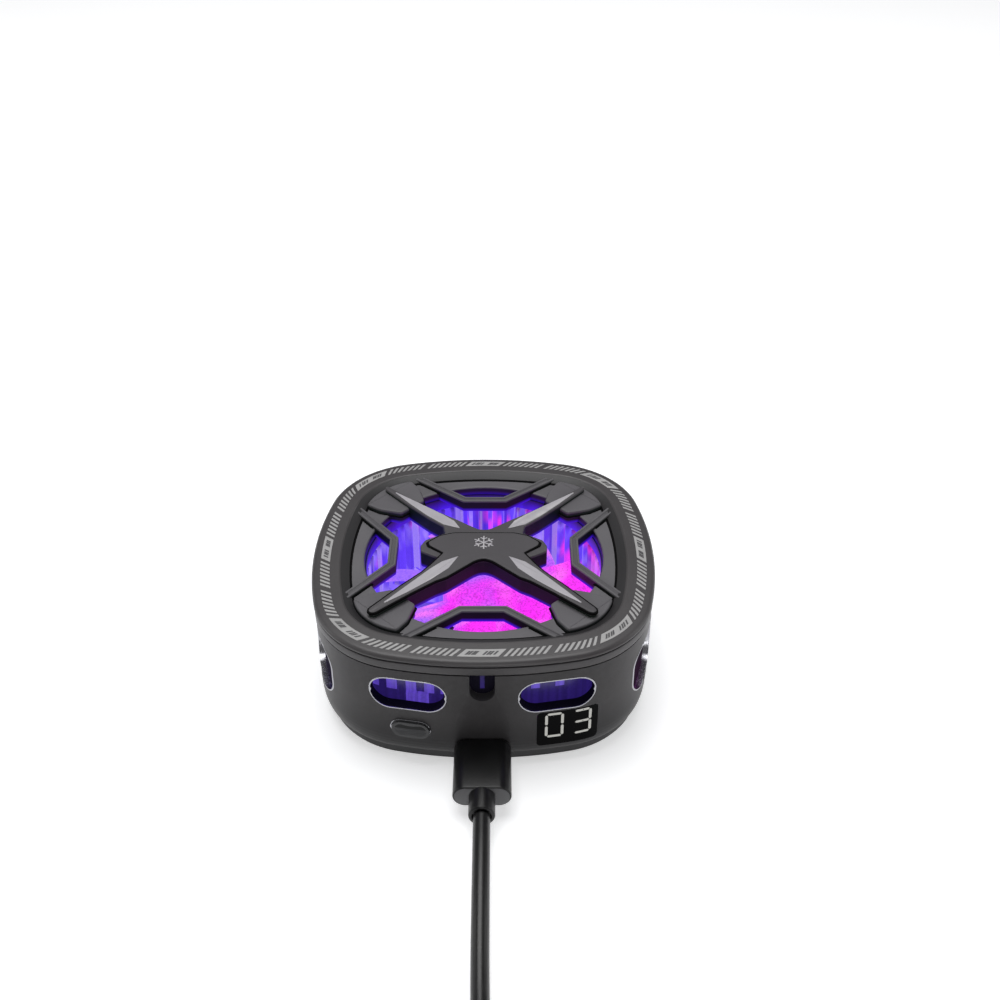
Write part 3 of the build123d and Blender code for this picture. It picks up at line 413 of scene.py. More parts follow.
def buildLowShade():
    # a colour that darkens below a height, as on walls that stand in each other's shade
    group, given, result = newGroup("lowShade", {
        "Colour": None, "Dark": None, "Top": 0.026, "Depth": 0.0006}, ["Colour"])
    height = addNode(group, "SeparateXYZ", {0: given["Place"]})["Z"]
    share = rampBelow(group, given["Top"], height, given["Depth"])
    setSockets(group, result, {"Colour": mixed(group, share, given["Colour"], given["Dark"])})
    return group


skinGrain = buildSkinGrain()
edgeSheen = buildEdgeSheen()
brushedMetal = buildBrushedMetal()
lightField = buildLightField()
wellSpill = buildWellSpill()
lowShade = buildLowShade()
print("finish groups built")

# How far a finish's bumps reach, in metres
skinBump, brushBump = 0.00003, 0.00002


def newFinish(name, values):
    # a material with its Principled shader, and its place in the object's own coordinates
    material = bpy.data.materials.new(name)
    material.use_nodes = True
    tree = material.node_tree
    shader = tree.nodes["Principled BSDF"]
    setSockets(tree, shader, values)
    return material, tree, shader, addNode(tree, "TexCoord")["Object"]


def applied(tree, group, place, values):
    return addNode(tree, "Group", {"Place": place, **values}, node_tree=group)


def withBump(tree, height, strength, reach):
    return addNode(tree, "Bump", {"Strength": strength, "Distance": reach, "Height": height})[0]


def moulded(name, look, sheenColour=None, sheenShare=0.5, spill=None, low=None, specular=0.5, metallic=0.0):
    # look: colour, shade, least and most roughness, grain and cloud in marks per metre, bump
    colour, shade, smooth, rough, grain, cloud, bump = look
    material, tree, principled, place = newFinish(name, {
        "Specular IOR Level": specular, "Metallic": metallic})
    skin = applied(tree, skinGrain, place, {
        "Colour": ink(colour), "Shade": ink(shade), "Grain": grain, "Cloud": cloud,
        "Least Roughness": smooth, "Most Roughness": rough})
    surface = skin["Colour"]
    # painted highlight: a lighter colour on the rounded edges
    if sheenColour:
        surface = applied(tree, edgeSheen, place, {
            "Colour": surface, "Sheen": ink(sheenColour), "Amount": sheenShare})["Colour"]
    # painted shade: a dark colour that comes in below a height (above it when the depth is negative),
    # standing for shade
    if low:   # dark colour, the height where it starts and the depth over which it comes in
        dark, top, fade = low
        surface = applied(tree, lowShade, place, {
            "Colour": surface, "Dark": ink(dark), "Top": top * mm, "Depth": fade * mm})["Colour"]
    if spill:   # colour, top, depth and strength of the light from the well
        tint, top, fade, strength = spill
        lit = applied(tree, wellSpill, place, {"Colour": ink(tint), "Top": top * mm, "Depth": fade * mm})
        setSockets(tree, principled, {"Emission Color": lit["Colour"], "Emission Strength": strength})
    setSockets(tree, principled, {"Base Color": surface, "Roughness": skin["Roughness"],
                                  "Normal": withBump(tree, skin["Height"], bump, skinBump)})
    return material


def brushed(name, colour, shade, stretch, smooth=0.22, rough=0.4, bump=0.15):
    material, tree, principled, place = newFinish(name, {"Metallic": 1.0})
    marks = applied(tree, brushedMetal, place, {
        "Colour": ink(colour), "Shade": ink(shade), "Stretch": stretch, "Least Roughness": smooth,
        "Most Roughness": rough})
    setSockets(tree, principled, {"Base Color": marks["Colour"], "Roughness": marks["Roughness"],
                                  "Normal": withBump(tree, marks["Height"], bump, brushBump)})
    return material


def glowing(name, base, warm, cool, strength, field=None, shader=None, pale="#f0a8ff"):
    # a milky plastic lit from inside: the light field feeds its emission colour, painted light on parts that
    # are no lamps themselves
    material, tree, principled, place = newFinish(name, {
        "Base Color": ink(base), "Roughness": 0.3, "Emission Strength": strength, **(shader or {})})
    light = applied(tree, lightField, place, {
        "Warm": ink(warm), "Cool": ink(cool), "Pale": ink(pale), **(field or {})})
    setSockets(tree, principled, {"Emission Color": light["Colour"],
                                  "Normal": withBump(tree, light["Height"], 0.1, skinBump)})
    return material


# The lead first: its route, its coil just outside the view, and the camera that sees it
leadShape = {
    "exit": (0.0, -49.3, 5.0),
    "route": [(0.0, -49.3, 5.0), (0.0, -60.0, 5.0), (0.0, -78.0, 1.6), (0.3, -89.0, 1.6),
              (9.5, -102.0, 2.55), (10.0, -115.0, 2.55)],
    "stub": 3.0, "firstRadius": 23.1, "step": 1.72, "layer": 3.5, "inward": 7, "outward": 8,
    "tail": [(0.0, -7.0, 0.0), (0.8, -19.0, -1.9), (0.8, -26.0, -1.9)],
    "pointsPerHalf": 8, "diameter": 3.0, "length": 1002.3,
}


def coilRoute():
    # half turns to the right, each a little smaller, then on top of them each a little larger
    lead = leadShape
    count = lead["pointsPerHalf"]
    swing = (np.arange(count) + 0.5) / count * math.pi
    spill = 1 / math.cos(math.pi / count / 2)   # the spline runs inside its control points
    inward = [lead["firstRadius"] - k * lead["step"] for k in range(lead["inward"])]
    outward = [inward[-1] + k * lead["step"] for k in range(lead["outward"])]
    turns = [(radius, 0) for radius in inward] + [(inward[-1] - lead["step"], lead["layer"])]
    turns += [(radius, 0) for radius in outward]
    here = np.array(lead["route"][-1]) + (0, -lead["stub"], 0)
    points, heading = [here[None, :]], -1.0
    for radius, rise in turns:
        centre = here + (heading * radius, 0, 0)
        x = centre[0] - heading * radius * spill * np.cos(swing)
        y = centre[1] + heading * radius * spill * np.sin(swing)
        points.append(np.column_stack([x, y, here[2] + rise * swing / math.pi]))
        here = here + (heading * 2 * radius, 0, rise)
        heading = -heading
    end = here + (0, heading * lead["stub"], 0)
    tail = end + np.array(lead["tail"])
    return np.concatenate(points + [here[None, :], end[None, :], tail])


def makeLead(finish):
    points = np.concatenate([np.array(leadShape["route"]), coilRoute()]) * mm
    curve = bpy.data.curves.new("leadCord", "CURVE")
    curve.dimensions = "3D"
    spline = curve.splines.new("NURBS")
    spline.points.add(len(points) - 1)
    spline.points.foreach_set("co", np.column_stack([points, np.ones(len(points))]).ravel())
    spline.order_u = 3
    spline.use_endpoint_u = True
    spline.resolution_u = 6
    curve.bevel_depth = leadShape["diameter"] / 2 * mm
    curve.bevel_resolution = 5
    curve.use_fill_caps = True
    curve.materials.append(finish)
    piece = addObject("leadCord", curve)
    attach(piece, "lead")
    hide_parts("cable", "cable_coil", "cable_tail")
    return piece


cameraShape = {"lens": 46.0, "sensor": 36.0, "place": (3.15, -199.3, 174.08), "down": 34.5}


def makeCamera():
    lens = bpy.data.cameras.new("photoCamera")
    lens.lens, lens.sensor_width = cameraShape["lens"], cameraShape["sensor"]
    lens.clip_start, lens.clip_end = 0.01, 20.0
    camera = addObject("photoCamera", lens)
    camera.location = [v * mm for v in cameraShape["place"]]
    camera.rotation_euler = (math.radians(90 - cameraShape["down"]), 0, 0)
    bpy.context.scene.camera = camera


def seenRays(tree, *others):
    # 1 for camera rays, transmission rays and the other kinds named
    rays = addNode(tree, "LightPath")
    seen = rays["Is Camera Ray"]
    for kind in ("Is Transmission Ray", *others):
        seen = maths(tree, "MAXIMUM", seen, rays[kind])
    return seen


def makeFloor():
    # a broad floor: pale and lit to camera, transmission and glossy rays, darker to the rest
    size, fill = 4.0, 0.48
    mesh = bpy.data.meshes.new("studioFloor")
    mesh.from_pydata([(-size, -size, 0), (size, -size, 0), (size, size, 0), (-size, size, 0)], [],
                     [(0, 1, 2, 3)])
    material, tree, shader = newFinish("floorPaper", {"Roughness": 0.6, "Emission Color": (1, 1, 1, 1)})[:3]
    seen = seenRays(tree, "Is Glossy Ray")
    setSockets(tree, shader, {"Base Color": mixed(tree, seen, ink("#8d8f93"), ink("#f4f5f7")),
                              "Emission Strength": maths(tree, "MULTIPLY", seen, fill)})
    mesh.materials.append(material)
    addObject("studioFloor", mesh)


def makeLamp(name, place, target, size, watts):
    data = bpy.data.lights.new(name, "AREA")
    data.shape, data.size, data.size_y = "RECTANGLE", size[0], size[1]
    data.energy = watts
    lamp = addObject(name, data)
    away = np.array(place, float) - np.array(target, float)
    away /= np.linalg.norm(away)
    lamp.location = place
    lamp.rotation_euler = (math.acos(away[2]), 0, math.atan2(away[0], -away[1]))


def makeSurroundings():
    # white to the camera and through clear parts, softer for the light that it gives
    world = bpy.data.worlds.new("studioWorld")
    bpy.context.scene.world = world
    world.use_nodes = True
    tree = world.node_tree
    tree.nodes.clear()
    soft, white = (addNode(tree, "Background", {"Color": (1, 1, 1, 1), "Strength": strength})[0]
                   for strength in (0.21, 1.0))
    pick = addNode(tree, "MixShader", {0: seenRays(tree), 1: soft, 2: white})[0]
    addNode(tree, "OutputWorld", {0: pick})


bpy.context.scene.view_settings.view_transform = "Standard"
makeCamera()
makeFloor()
makeSurroundings()
makeLamp("frontPanel", (0.03, -0.62, 0.16), (0, 0, 0.01), (0.10, 0.22), 0.56)
makeLamp("topPanel", (-0.05, 0.14, 0.70), (0, 0, 0.02), (0.5, 0.5), 3.3)
makeLamp("rightPanel", (0.7, 0.10, 0.30), (0, 0, 0.01), (0.3, 0.4), 0.8)
makeLamp("leftPanel", (-0.7, 0.10, 0.30), (0, 0, 0.01), (0.3, 0.4), 0.8)

cableJacket = moulded("cableJacket", ("#09090a", "#101011", 0.26, 0.42, 3500.0, 300.0, 0.35))
lead = makeLead(cableJacket)
print("camera, floor, lamps and lead made")

# The body's own finishes
# painted shade: the housing darkens from 12.5 mm downwards towards the foot, and its rounded edges carry a
# painted highlight
bodyPlastic = moulded("bodyPlastic", ("#444243", "#4c4a4b", 0.34, 0.46, 5200.0, 60.0, 0.4),
                      sheenColour="#5c5b5c", sheenShare=0.4, low=("#201f21", 12.5, 9.0), specular=0.22)
# painted shade: the bezel's recess slope is a darker copy of the bezel plastic
recessShadedPlastic = moulded("recessShadedPlastic", ("#29282a", "#313032", 0.4, 0.52, 5200.0, 60.0, 0.4))
# painted highlight on the bezel's rounded edges
bezelPlastic = moulded("bezelPlastic", ("#434042", "#4b494a", 0.34, 0.46, 5200.0, 60.0, 0.4),
                       sheenColour="#6a686a", sheenShare=0.5)
plainPanel = ("#605e62", "#6a696c", 0.42, 0.56, 4200.0, 80.0, 0.6)
wellLight = ("#4a14ff", 23.5, 0.9, 0.8)
# painted shade: the walls of the struts, corner plates, panel lip and cross darken below their tops, and
# their rounded edges carry a painted highlight
strutPlastic = moulded("strutPlastic", plainPanel, sheenColour="#706f71", sheenShare=0.5, spill=wellLight,
                       low=("#141a19", 24.95, 0.2), specular=0.25)
platePlastic = moulded("platePlastic", plainPanel, sheenColour="#706f71", sheenShare=0.4, spill=wellLight,
                       low=("#262c2c", 25.1, 0.2), specular=0.3)
panelPlastic = moulded("panelPlastic", plainPanel, sheenColour="#7c7b7e", sheenShare=0.4, spill=wellLight,
                       low=("#12181a", 24.2, 0.15))
crossPlastic = moulded("crossPlastic", ("#504e51", "#5a585b", 0.36, 0.5, 5200.0, 70.0, 0.5),
                       sheenColour="#807f81", sheenShare=0.5, spill=("#3a18d8", 23.45, 0.7, 0.7),
                       low=("#14211c", 26.0, 0.2), specular=0.22)
printInk = moulded("printInk", ("#a5a4a4", "#b8b7b7", 0.4, 0.55, 3000.0, 200.0, 0.4))
printDark = moulded("printDark", ("#4c4b4d", "#585759", 0.45, 0.6, 3000.0, 200.0, 0.4))
# painted highlight on the rounded edges of the slivers and the flake
inlaySilver = moulded("inlaySilver", ("#b6b3b9", "#c6c3c9", 0.3, 0.42, 4200.0, 150.0, 0.35),
                      sheenColour="#ecebe8", sheenShare=0.5, metallic=0.2)
# painted shade: near-black for the shadow in gaps, grooves and joints
paintedGapShade = moulded("paintedGapShade", ("#050506", "#0a0a0b", 0.7, 0.85, 4000.0, 200.0, 0.3),
                    specular=0.08)
trimChrome = brushed("trimChrome", "#8f8f93", "#b9b9be", (3000.0, 3000.0, 300.0), 0.16, 0.3, 0.1)

# Top ring: lower band, crowned bezel with rounded shoulder, and the two grooves between the shells, with a
# ring of painted shade showing in both
bezelShape = {
    "bandInset": 0.1, "bandLow": 22.42, "bandHigh": 24.08, "bandWall": 2.5, "seamInset": 0.6,
    "seamWall": 1.2, "seamLow": 22.05, "seamRise": 0.1, "low": 24.4, "shoulder": 24.9, "edgeRound": 0.5,
    "crestInset": 5.2, "crest": 25.75, "crestLip": 0.3, "lipDrop": 0.2, "slopeBack": 0.25,
    "throatInset": 7.2, "throatGap": 0.2, "throatFoot": 0.5, "lineFoot": 0.4, "lineReach": 0.38,
    "lineTip": 0.06, "clear": 0.02, "bandCorners": (0.22, 0.22, 0.2, 0.2),
    "crownCorners": (0.2, 0.45, 0.5, 0.3, 0.05, 0.05), "slopeCorners": (0.05, 0.05, 0.1, 0.12, 0.05, 0.05),
}


def makeBezel():
    s = bezelShape
    low, lift, gap = s["low"], s["low"] + s["throatGap"], s["clear"]
    inner = s["bandInset"] + s["bandWall"]
    band = [(s["bandInset"], s["bandLow"]), (s["bandInset"], s["bandHigh"]), (inner, s["bandHigh"]),
            (inner, s["bandLow"])]
    end, lip = s["crestInset"] + s["crestLip"], s["crest"] - s["lipDrop"]
    crown = [(0, low), (0, s["shoulder"]), (s["edgeRound"], s["shoulder"] + s["edgeRound"]),
             (s["crestInset"], s["crest"]), (end, lip), (end, low)]
    back, throat = end - s["slopeBack"], s["throatInset"]
    foot = throat - s["throatFoot"]
    slope = [(back, low), (back, lip), (end, lip), (throat, lift), (foot, lift), (foot, low)]
    near, tip = throat - s["lineFoot"], throat + s["lineReach"]
    line = [(near, low + gap), (near, lift - gap), (tip, low + s["lineTip"]), (tip, low + gap)]
    seam, core = s["seamInset"], s["seamInset"] + s["seamWall"]
    high = low + s["seamRise"]
    # the near-black line in the throat and the ring behind the two grooves are painted shade
    for name, profile, finish, replaced in (
            ("lowerBand", softCorners(band, s["bandCorners"], 5), bezelPlastic, ["lower_bezel"]),
            ("crownedBezel", softCorners(crown, s["crownCorners"], 6), bezelPlastic, ["top_bezel"]),
            ("recessWall", softCorners(slope, s["slopeCorners"]), recessShadedPlastic, []),
            ("recessShadeLine", line, paintedGapShade, []),
            ("bandShadeRing", [(seam, s["seamLow"]), (seam, high), (core, high), (core, s["seamLow"])],
             paintedGapShade, [])):
        addPiece(name, [sweptRing(profile)], finish, replaced=replaced)


# Printed marks round the bezel: name plates at the sides and corners with slanted stripes between.
# Plain upright bars stand where the plates carry lettering.
printShape = {
    "near": 1.65, "far": 3.45, "lift": 0.05, "sink": 0.12, "stripes": 7, "stripeShare": 0.5,
    "sidePlate": 8.3, "cornerPlate": 9.2, "plateColumns": 14, "gap": 0.9, "lean": 1.5, "rows": 3,
    "bars": (0.10, 0.18, 0.27, 0.34, 0.60, 0.70, 0.78, 0.90), "barSpread": 0.86, "barWidth": 0.42,
    "barMargin": 0.45, "barLift": 0.07,
}


def crownHeight(inset):
    # the bezel's upper face rises evenly from its shoulder to its crest
    s = bezelShape
    low = s["shoulder"] + s["edgeRound"]
    return low + (inset - s["edgeRound"]) / (s["crestInset"] - s["edgeRound"]) * (s["crest"] - low)


def turnAtLength():
    # the normal angle at a length walked along the print's middle line, from the right side's middle
    middle = (printShape["near"] + printShape["far"]) / 2
    side = (caseShape["sideRadius"] - middle) * sideTurn
    corner = (caseShape["cornerRadius"] - middle) * (quarter - 2 * sideTurn)
    long = 2 * side + corner
    laps = np.arange(-1, 6)[:, None]
    walked = (np.array([0, side, side + corner]) + laps * long).ravel()
    angles = (np.array([0, sideTurn, quarter - sideTurn]) + laps * quarter).ravel()
    return (lambda s: np.interp(s, walked, angles)), long


turnAt, printQuarter = turnAtLength()


def printedCell(middle, wide, lift, columns=2, margin=0.0):
    # a thin slanted patch on the crown: it leans forwards as the inset grows
    p = printShape
    rows = p["rows"]
    inset = np.linspace(p["near"] + margin, p["far"] - margin, rows)[:, None]
    lean = p["lean"] * (inset - (p["near"] + p["far"]) / 2) / (p["far"] - p["near"])
    s = middle + wide * np.linspace(-0.5, 0.5, columns)[None, :] + lean
    x, y = outlineAt(turnAt(s), np.broadcast_to(inset, s.shape))
    top = np.stack([x, y, np.broadcast_to(crownHeight(inset) + lift, s.shape)], -1).reshape(-1, 3)
    count = rows * columns
    faces = gridFaces(rows, columns)
    faces += [[i + count for i in face[::-1]] for face in faces]
    grid = np.arange(count).reshape(rows, columns)
    rim = np.concatenate([grid[0], grid[1:, -1], grid[-1, -2::-1], grid[-2:0:-1, 0]])
    after = np.roll(rim, -1)
    faces += np.stack([rim, rim + count, after + count, after], 1).tolist()
    return np.concatenate([top, top - (0, 0, p["sink"])]), faces


def makePrint():
    p = printShape
    run = (printQuarter - (p["sidePlate"] + p["cornerPlate"])) / 2   # one stretch between two plates
    half = (run - p["gap"]) / 2
    pitch = half / p["stripes"]
    stripes, plates, bars = [], [], []
    for side in range(4):
        start = side * printQuarter
        for middle, long in ((start, p["sidePlate"]), (start + printQuarter / 2, p["cornerPlate"])):
            wide = long - 2 * pitch * (1 - p["stripeShare"])
            plates.append(printedCell(middle, wide, p["lift"], p["plateColumns"]))
            bars += [printedCell(middle + (share - 0.5) * wide * p["barSpread"], p["barWidth"],
                                 p["barLift"], margin=p["barMargin"]) for share in p["bars"]]
            for group in (middle + long / 2, middle + long / 2 + half + p["gap"]):
                stripes += [printedCell(group + (k + 0.5) * pitch, pitch * p["stripeShare"], p["lift"])
                            for k in range(p["stripes"])]
    for name, shapes, finish in (("bezelStripes", stripes, printInk), ("bezelPlates", plates, printInk),
                                 ("plateBars", bars, printDark)):
        addPiece(name, shapes, finish)


# Grille: panel with its round well, four cranked struts with a grooved top, four corner plates.
# Shares are of half the grille; plateEnds are degrees where the recess's arc cuts the plate.
grilleShape = {
    "half": 25.8, "panelInset": 2.9, "panelLow": 22.7, "panelHigh": 24.4, "wellRadius": 23.2,
    "lipRound": 0.35, "strutWidth": 1.6, "strutHigh": 25.2, "strutLow": 22.7, "grooveHalf": 0.34,
    "grooveSlope": 0.08, "grooveDepth": 0.28, "lipSpread": 1.4, "plateSink": 0.1, "plateHigh": 25.5,
    "plateInset": 7.3, "plateRound": 0.3, "plateEnds": (14.8, 75.2),
    "strutCorners": (0.05, 0.16, 0.06, 0.06, 0.06, 0.06, 0.16, 0.05),
    "strutShares": [(-0.545, 0.995), (-0.159, 0.686), (0.159, 0.686), (0.545, 0.995)],
    "plateShares": [(0.915, 0.589), (0.822, 0.527), (0.651, 0.481)],
}
# painted shade lines beside the struts and round the corner plates
panelShadeLines = {"from": (8.9, 21.55), "to": (14.3, 25.9), "side": 0.3, "around": 0.28, "low": 24.25,
              "high": 24.44}


def makePanel():
    # rows run from the well's wall over its rounded lip to the outline and back underneath
    s = grilleShape
    outline = np.column_stack(outlineAt(turnsAround(), s["panelInset"]))
    circle = outline / np.linalg.norm(outline, axis=1)[:, None]
    rows = [(0.0, s["panelLow"])] + quarterRound(s["lipRound"], s["panelHigh"], 5)
    rows.append((s["lipRound"] * s["lipSpread"], s["panelHigh"]))
    grid = [atHeight(circle * (s["wellRadius"] + out), z) for out, z in rows]
    return ringed(grid + [atHeight(outline, s["panelHigh"]), atHeight(outline, s["panelLow"])])


def strutBar():
    # a grooved section carried along the cranked line, with closed ends inside the bezel
    s = grilleShape
    line = np.array(s["strutShares"]) * s["half"]
    edge = np.diff(line, axis=0)
    edge /= np.linalg.norm(edge, axis=1)[:, None]
    normal = np.stack([-edge[:, 1], edge[:, 0]], 1)
    normal = np.concatenate([normal[:1], normal, normal[-1:]])
    mitre = (normal[:-1] + normal[1:]) / (1 + np.sum(normal[:-1] * normal[1:], 1)[:, None])
    half, high, low = s["strutWidth"] / 2, s["strutHigh"], s["strutLow"]
    outer, inner = s["grooveHalf"] + s["grooveSlope"], s["grooveHalf"] - s["grooveSlope"]
    deep = high - s["grooveDepth"]
    section = softCorners([(-half, low), (-half, high), (-outer, high), (-inner, deep), (inner, deep),
                           (outer, high), (half, high), (half, low)],
                          s["strutCorners"])
    place = line[:, None, :] + mitre[:, None, :] * section[None, :, :1]
    height = np.broadcast_to(section[:, 1:], (*place.shape[:2], 1))
    return capped(np.concatenate([place, height], -1))


def cornerPlateLoop():
    # outside the arc of the recess, inside the crank of the struts at both ends
    s = grilleShape
    bend = np.radians(np.linspace(*s["plateEnds"], 18))
    reach = caseShape["cornerRadius"] - s["plateInset"]
    arc = cornerPlace + reach * np.column_stack([np.cos(bend), np.sin(bend)])
    near = np.array(s["plateShares"]) * s["half"]
    corner = np.concatenate([np.full(len(arc), 0.02), np.full(2 * len(near), 0.5)])
    return np.concatenate([arc, near[:, ::-1], near[::-1]]), corner


def shadeGapStrips():
    # painted shade: dark lines for the shadow in the joints beside each strut where it crosses the panel, and
    # round each corner plate
    s = panelShadeLines
    start, end = np.array(s["from"]), np.array(s["to"])
    width = grilleShape["strutWidth"] + 2 * s["side"]
    shapes = [raisedPlate(strip(start * (sign, 1), end * (sign, 1), width), s["low"], s["high"],
                          edge=0.02, corner=0.05, steps=2) for sign in (-1, 1)]
    around = shrunk(anticlockwise(cornerPlateLoop()[0]), -s["around"])
    return shapes + [raisedPlate(around, s["low"], s["high"], edge=0.02, corner=0.1, steps=2)]


def makeGrille():
    s = grilleShape
    points, corner = cornerPlateLoop()
    plate = raisedPlate(points, s["panelLow"] + s["plateSink"], s["plateHigh"], s["plateRound"], corner)
    for name, shapes, finish, replaced in (
            ("panelShadeLines", onSides(shadeGapStrips()), paintedGapShade, []),
            ("grillePanel", [makePanel()], panelPlastic, ["grille_panel"]),
            ("grilleStruts", onSides([strutBar()]), strutPlastic, []),
            ("cornerPlates", onSides([plate]), platePlastic, ["corner_plates"])):
        addPiece(name, shapes, finish, replaced=replaced)


# Cross: rear hub with its arms below, front cover with its arms above, silver slivers on all four, and
# painted shade round the cover.
# Shares are of half the cross; an inlay's run along its arm.
crossShape = {
    "half": 20.5, "low": 22.7, "rearHigh": 26.4, "coverHigh": 26.8, "round": 0.24, "inlaySink": 0.3,
    "inlayProud": 0.04, "seamSink": 0.2, "seamProud": 0.06, "lineWide": 0.3, "lineLow": 26.2,
    "lineHigh": 26.64,
    "rear": [(0, 0.262), (0.045, 0.266), (0.097, 0.300), (0.258, 0.424), (0.438, 0.552), (0.675, 0.739),
             (0.959, 0.993), (0.989, 1.006), (1.007, 0.987), (0.996, 0.956), (0.744, 0.670),
             (0.539, 0.451), (0.392, 0.319), (0.372, 0.20), (0.44, 0.165), (0.56, 0.09), (0.60, 0.0),
             (0.595, -0.08), (0.47, -0.16), (0.30, -0.24), (0, -0.17)],
    "cover": [(0, 0.18), (0.29, 0.18), (0.42, 0.135), (0.525, 0.035), (0.512, -0.015), (0.375, -0.13),
              (0.47, -0.292), (0.562, -0.428), (0.742, -0.629), (1.001, -0.950), (1.010, -0.984),
              (0.983, -1.011), (0.947, -1.004), (0.643, -0.728), (0.435, -0.555), (0.34, -0.50),
              (0.093, -0.262), (0.044, -0.232), (0, -0.222)],
    "seam": [(0.30, 0.205), (0.432, 0.155), (0.552, 0.04), (0.535, -0.025), (0.40, -0.13), (0.2, -0.16)],
    "rearInlay": [(0.36, 0.034), (0.49, 0.078), (0.64, 0.075), (1.0, 0.036), (1.26, 0.006),
                  (1.26, -0.006), (1.0, -0.032), (0.74, -0.046), (0.52, -0.036)],
    "coverInlay": [(0.30, 0.03), (0.47, 0.078), (0.62, 0.075), (1.0, 0.034), (1.24, 0.006),
                   (1.24, -0.006), (1.0, -0.034), (0.72, -0.048), (0.49, -0.038)],
}


def makeCross():
    c = crossShape
    rear, cover = (mirroredRight(c[key], c["half"]) for key in ("rear", "cover"))
    # painted shade: a dark outline round the cover, for its shadow on the rear arms
    line = raisedPlate(shrunk(anticlockwise(cover), -c["lineWide"]), c["lineLow"], c["lineHigh"],
                       edge=0.04, corner=0.4, steps=2)
    slivers = []
    for angle, side, key in ((45, 1, "rear"), (135, -1, "rear"), (225, -1, "cover"), (315, 1, "cover")):
        points = np.array(c[key + "Inlay"]) * (c["half"], side * c["half"])
        high = c[key + "High"]
        shape = raisedPlate(points, high - c["inlaySink"], high + c["inlayProud"], edge=0.05, corner=0.12)
        slivers.append(turned(shape, math.radians(angle)))
    # painted shade: a dark patch in the groove between the cover and the rear hub
    seam = raisedPlate(mirroredRight(c["seam"], c["half"]), c["rearHigh"] - c["seamSink"],
                       c["rearHigh"] + c["seamProud"], edge=0.05, corner=0.3)
    for name, shapes, finish, slot, replaced in (
            ("rearCross", [raisedPlate(rear, c["low"], c["rearHigh"], c["round"])], crossPlastic,
             "cross_plastic", ["rear_cross_arms"]),
            ("frontCover", [raisedPlate(cover, c["low"], c["coverHigh"], c["round"])], crossPlastic,
             "cross_plastic", ["front_cross_cover"]),
            ("coverShadeGap", [seam], paintedGapShade, "cross_plastic", []),
            ("coverShadeLine", [line], paintedGapShade, "cross_plastic", []),
            ("crossSlivers", slivers, inlaySilver, "inlay_silver", ["cross_inlays"])):
        addPiece(name, shapes, finish, replaced=replaced)


# A plain six-armed flake stands where the cover carries a mark
flakeShape = {"centre": (0.0, 0.45), "reach": 2.1, "width": 0.26, "branch": 0.75, "branchAt": 1.15,
              "lift": 0.05, "sink": 0.1, "stagger": 0.002}


def towards(degrees):
    return np.array([math.cos(math.radians(degrees)), math.sin(math.radians(degrees))])


def makeFlake():
    f, high = flakeShape, crossShape["coverHigh"]
    shapes = []
    for k in range(6):
        arm = 60 * k + 30
        fork = towards(arm) * f["branchAt"]
        ends = [(np.zeros(2), towards(arm) * f["reach"])]
        ends += [(fork, fork + towards(arm + turn) * f["branch"]) for turn in (-60, 60)]
        for step, (start, end) in enumerate(ends):
            points = strip(start, end, f["width"]) + f["centre"]
            top = high + f["lift"] + f["stagger"] * (k + 6 * step)
            shapes.append(raisedPlate(points, high - f["sink"], top, edge=0.03, corner=0.08, steps=2))
    addPiece("coverFlake", shapes, inlaySilver)


makeBezel()
makePrint()
makeGrille()
makeCross()
makeFlake()
print("top ring, print, grille and cross made")

# Fan: milky cambered blades round a lathed cup, glowing with the LEDs' light painted on as emission
fanShape = {
    "cupRadius": 8.2, "cupLow": 10.4, "cupHigh": 17.8, "cupWall": 0.9, "cupCap": 1.2,
    "cupCorners": (0.005, 1.6, 0.2, 0.2, 0.3, 0.1, 0.05, 0.005), "cupDome": 0.35, "cupBoss": 0.1,
    "boreRadius": 0.77, "axisRadius": 0.01, "tipRadius": 21.15, "rootRadius": 7.9,
    "blades": 7, "chord": (9.6, 13.0), "tipTaper": 0.30, "taperFrom": 0.86, "pitch": (33.0, 25.0),
    "middle": 14.1, "thickness": 0.9, "thinning": 0.35, "camber": 0.6, "sweep": 9.0, "rows": 15,
    "columns": 40,
}


def bladeSurface():
    # rows go out along the span, columns round the section: chord, pitch and sweep vary with the row
    f = fanShape
    span = np.linspace(0, 1, f["rows"])[:, None]
    around = np.linspace(0, 2 * math.pi, f["columns"], endpoint=False)[None, :]
    chord = f["chord"][0] + (f["chord"][1] - f["chord"][0]) * np.sin(span * quarter)
    chord = chord * (1 - f["tipTaper"] * np.clip((span - f["taperFrom"]) / (1 - f["taperFrom"]), 0, 1) ** 2)
    pitch = np.radians(f["pitch"][0] + (f["pitch"][1] - f["pitch"][0]) * span)
    along = np.cos(around) / 2 * chord
    camber = f["camber"] * (1 - (2 * along / chord) ** 2)
    rise = camber + f["thickness"] / 2 * np.sin(around) * (1 - f["thinning"] * np.cos(around))
    aside = along * np.cos(pitch) - rise * np.sin(pitch)
    z = f["middle"] + along * np.sin(pitch) + rise * np.cos(pitch)
    radius = f["rootRadius"] + (f["tipRadius"] - f["rootRadius"]) * span
    turn = aside / radius + np.radians(f["sweep"]) * span ** 2
    return capped(np.stack([radius * np.cos(turn), radius * np.sin(turn), z], -1))


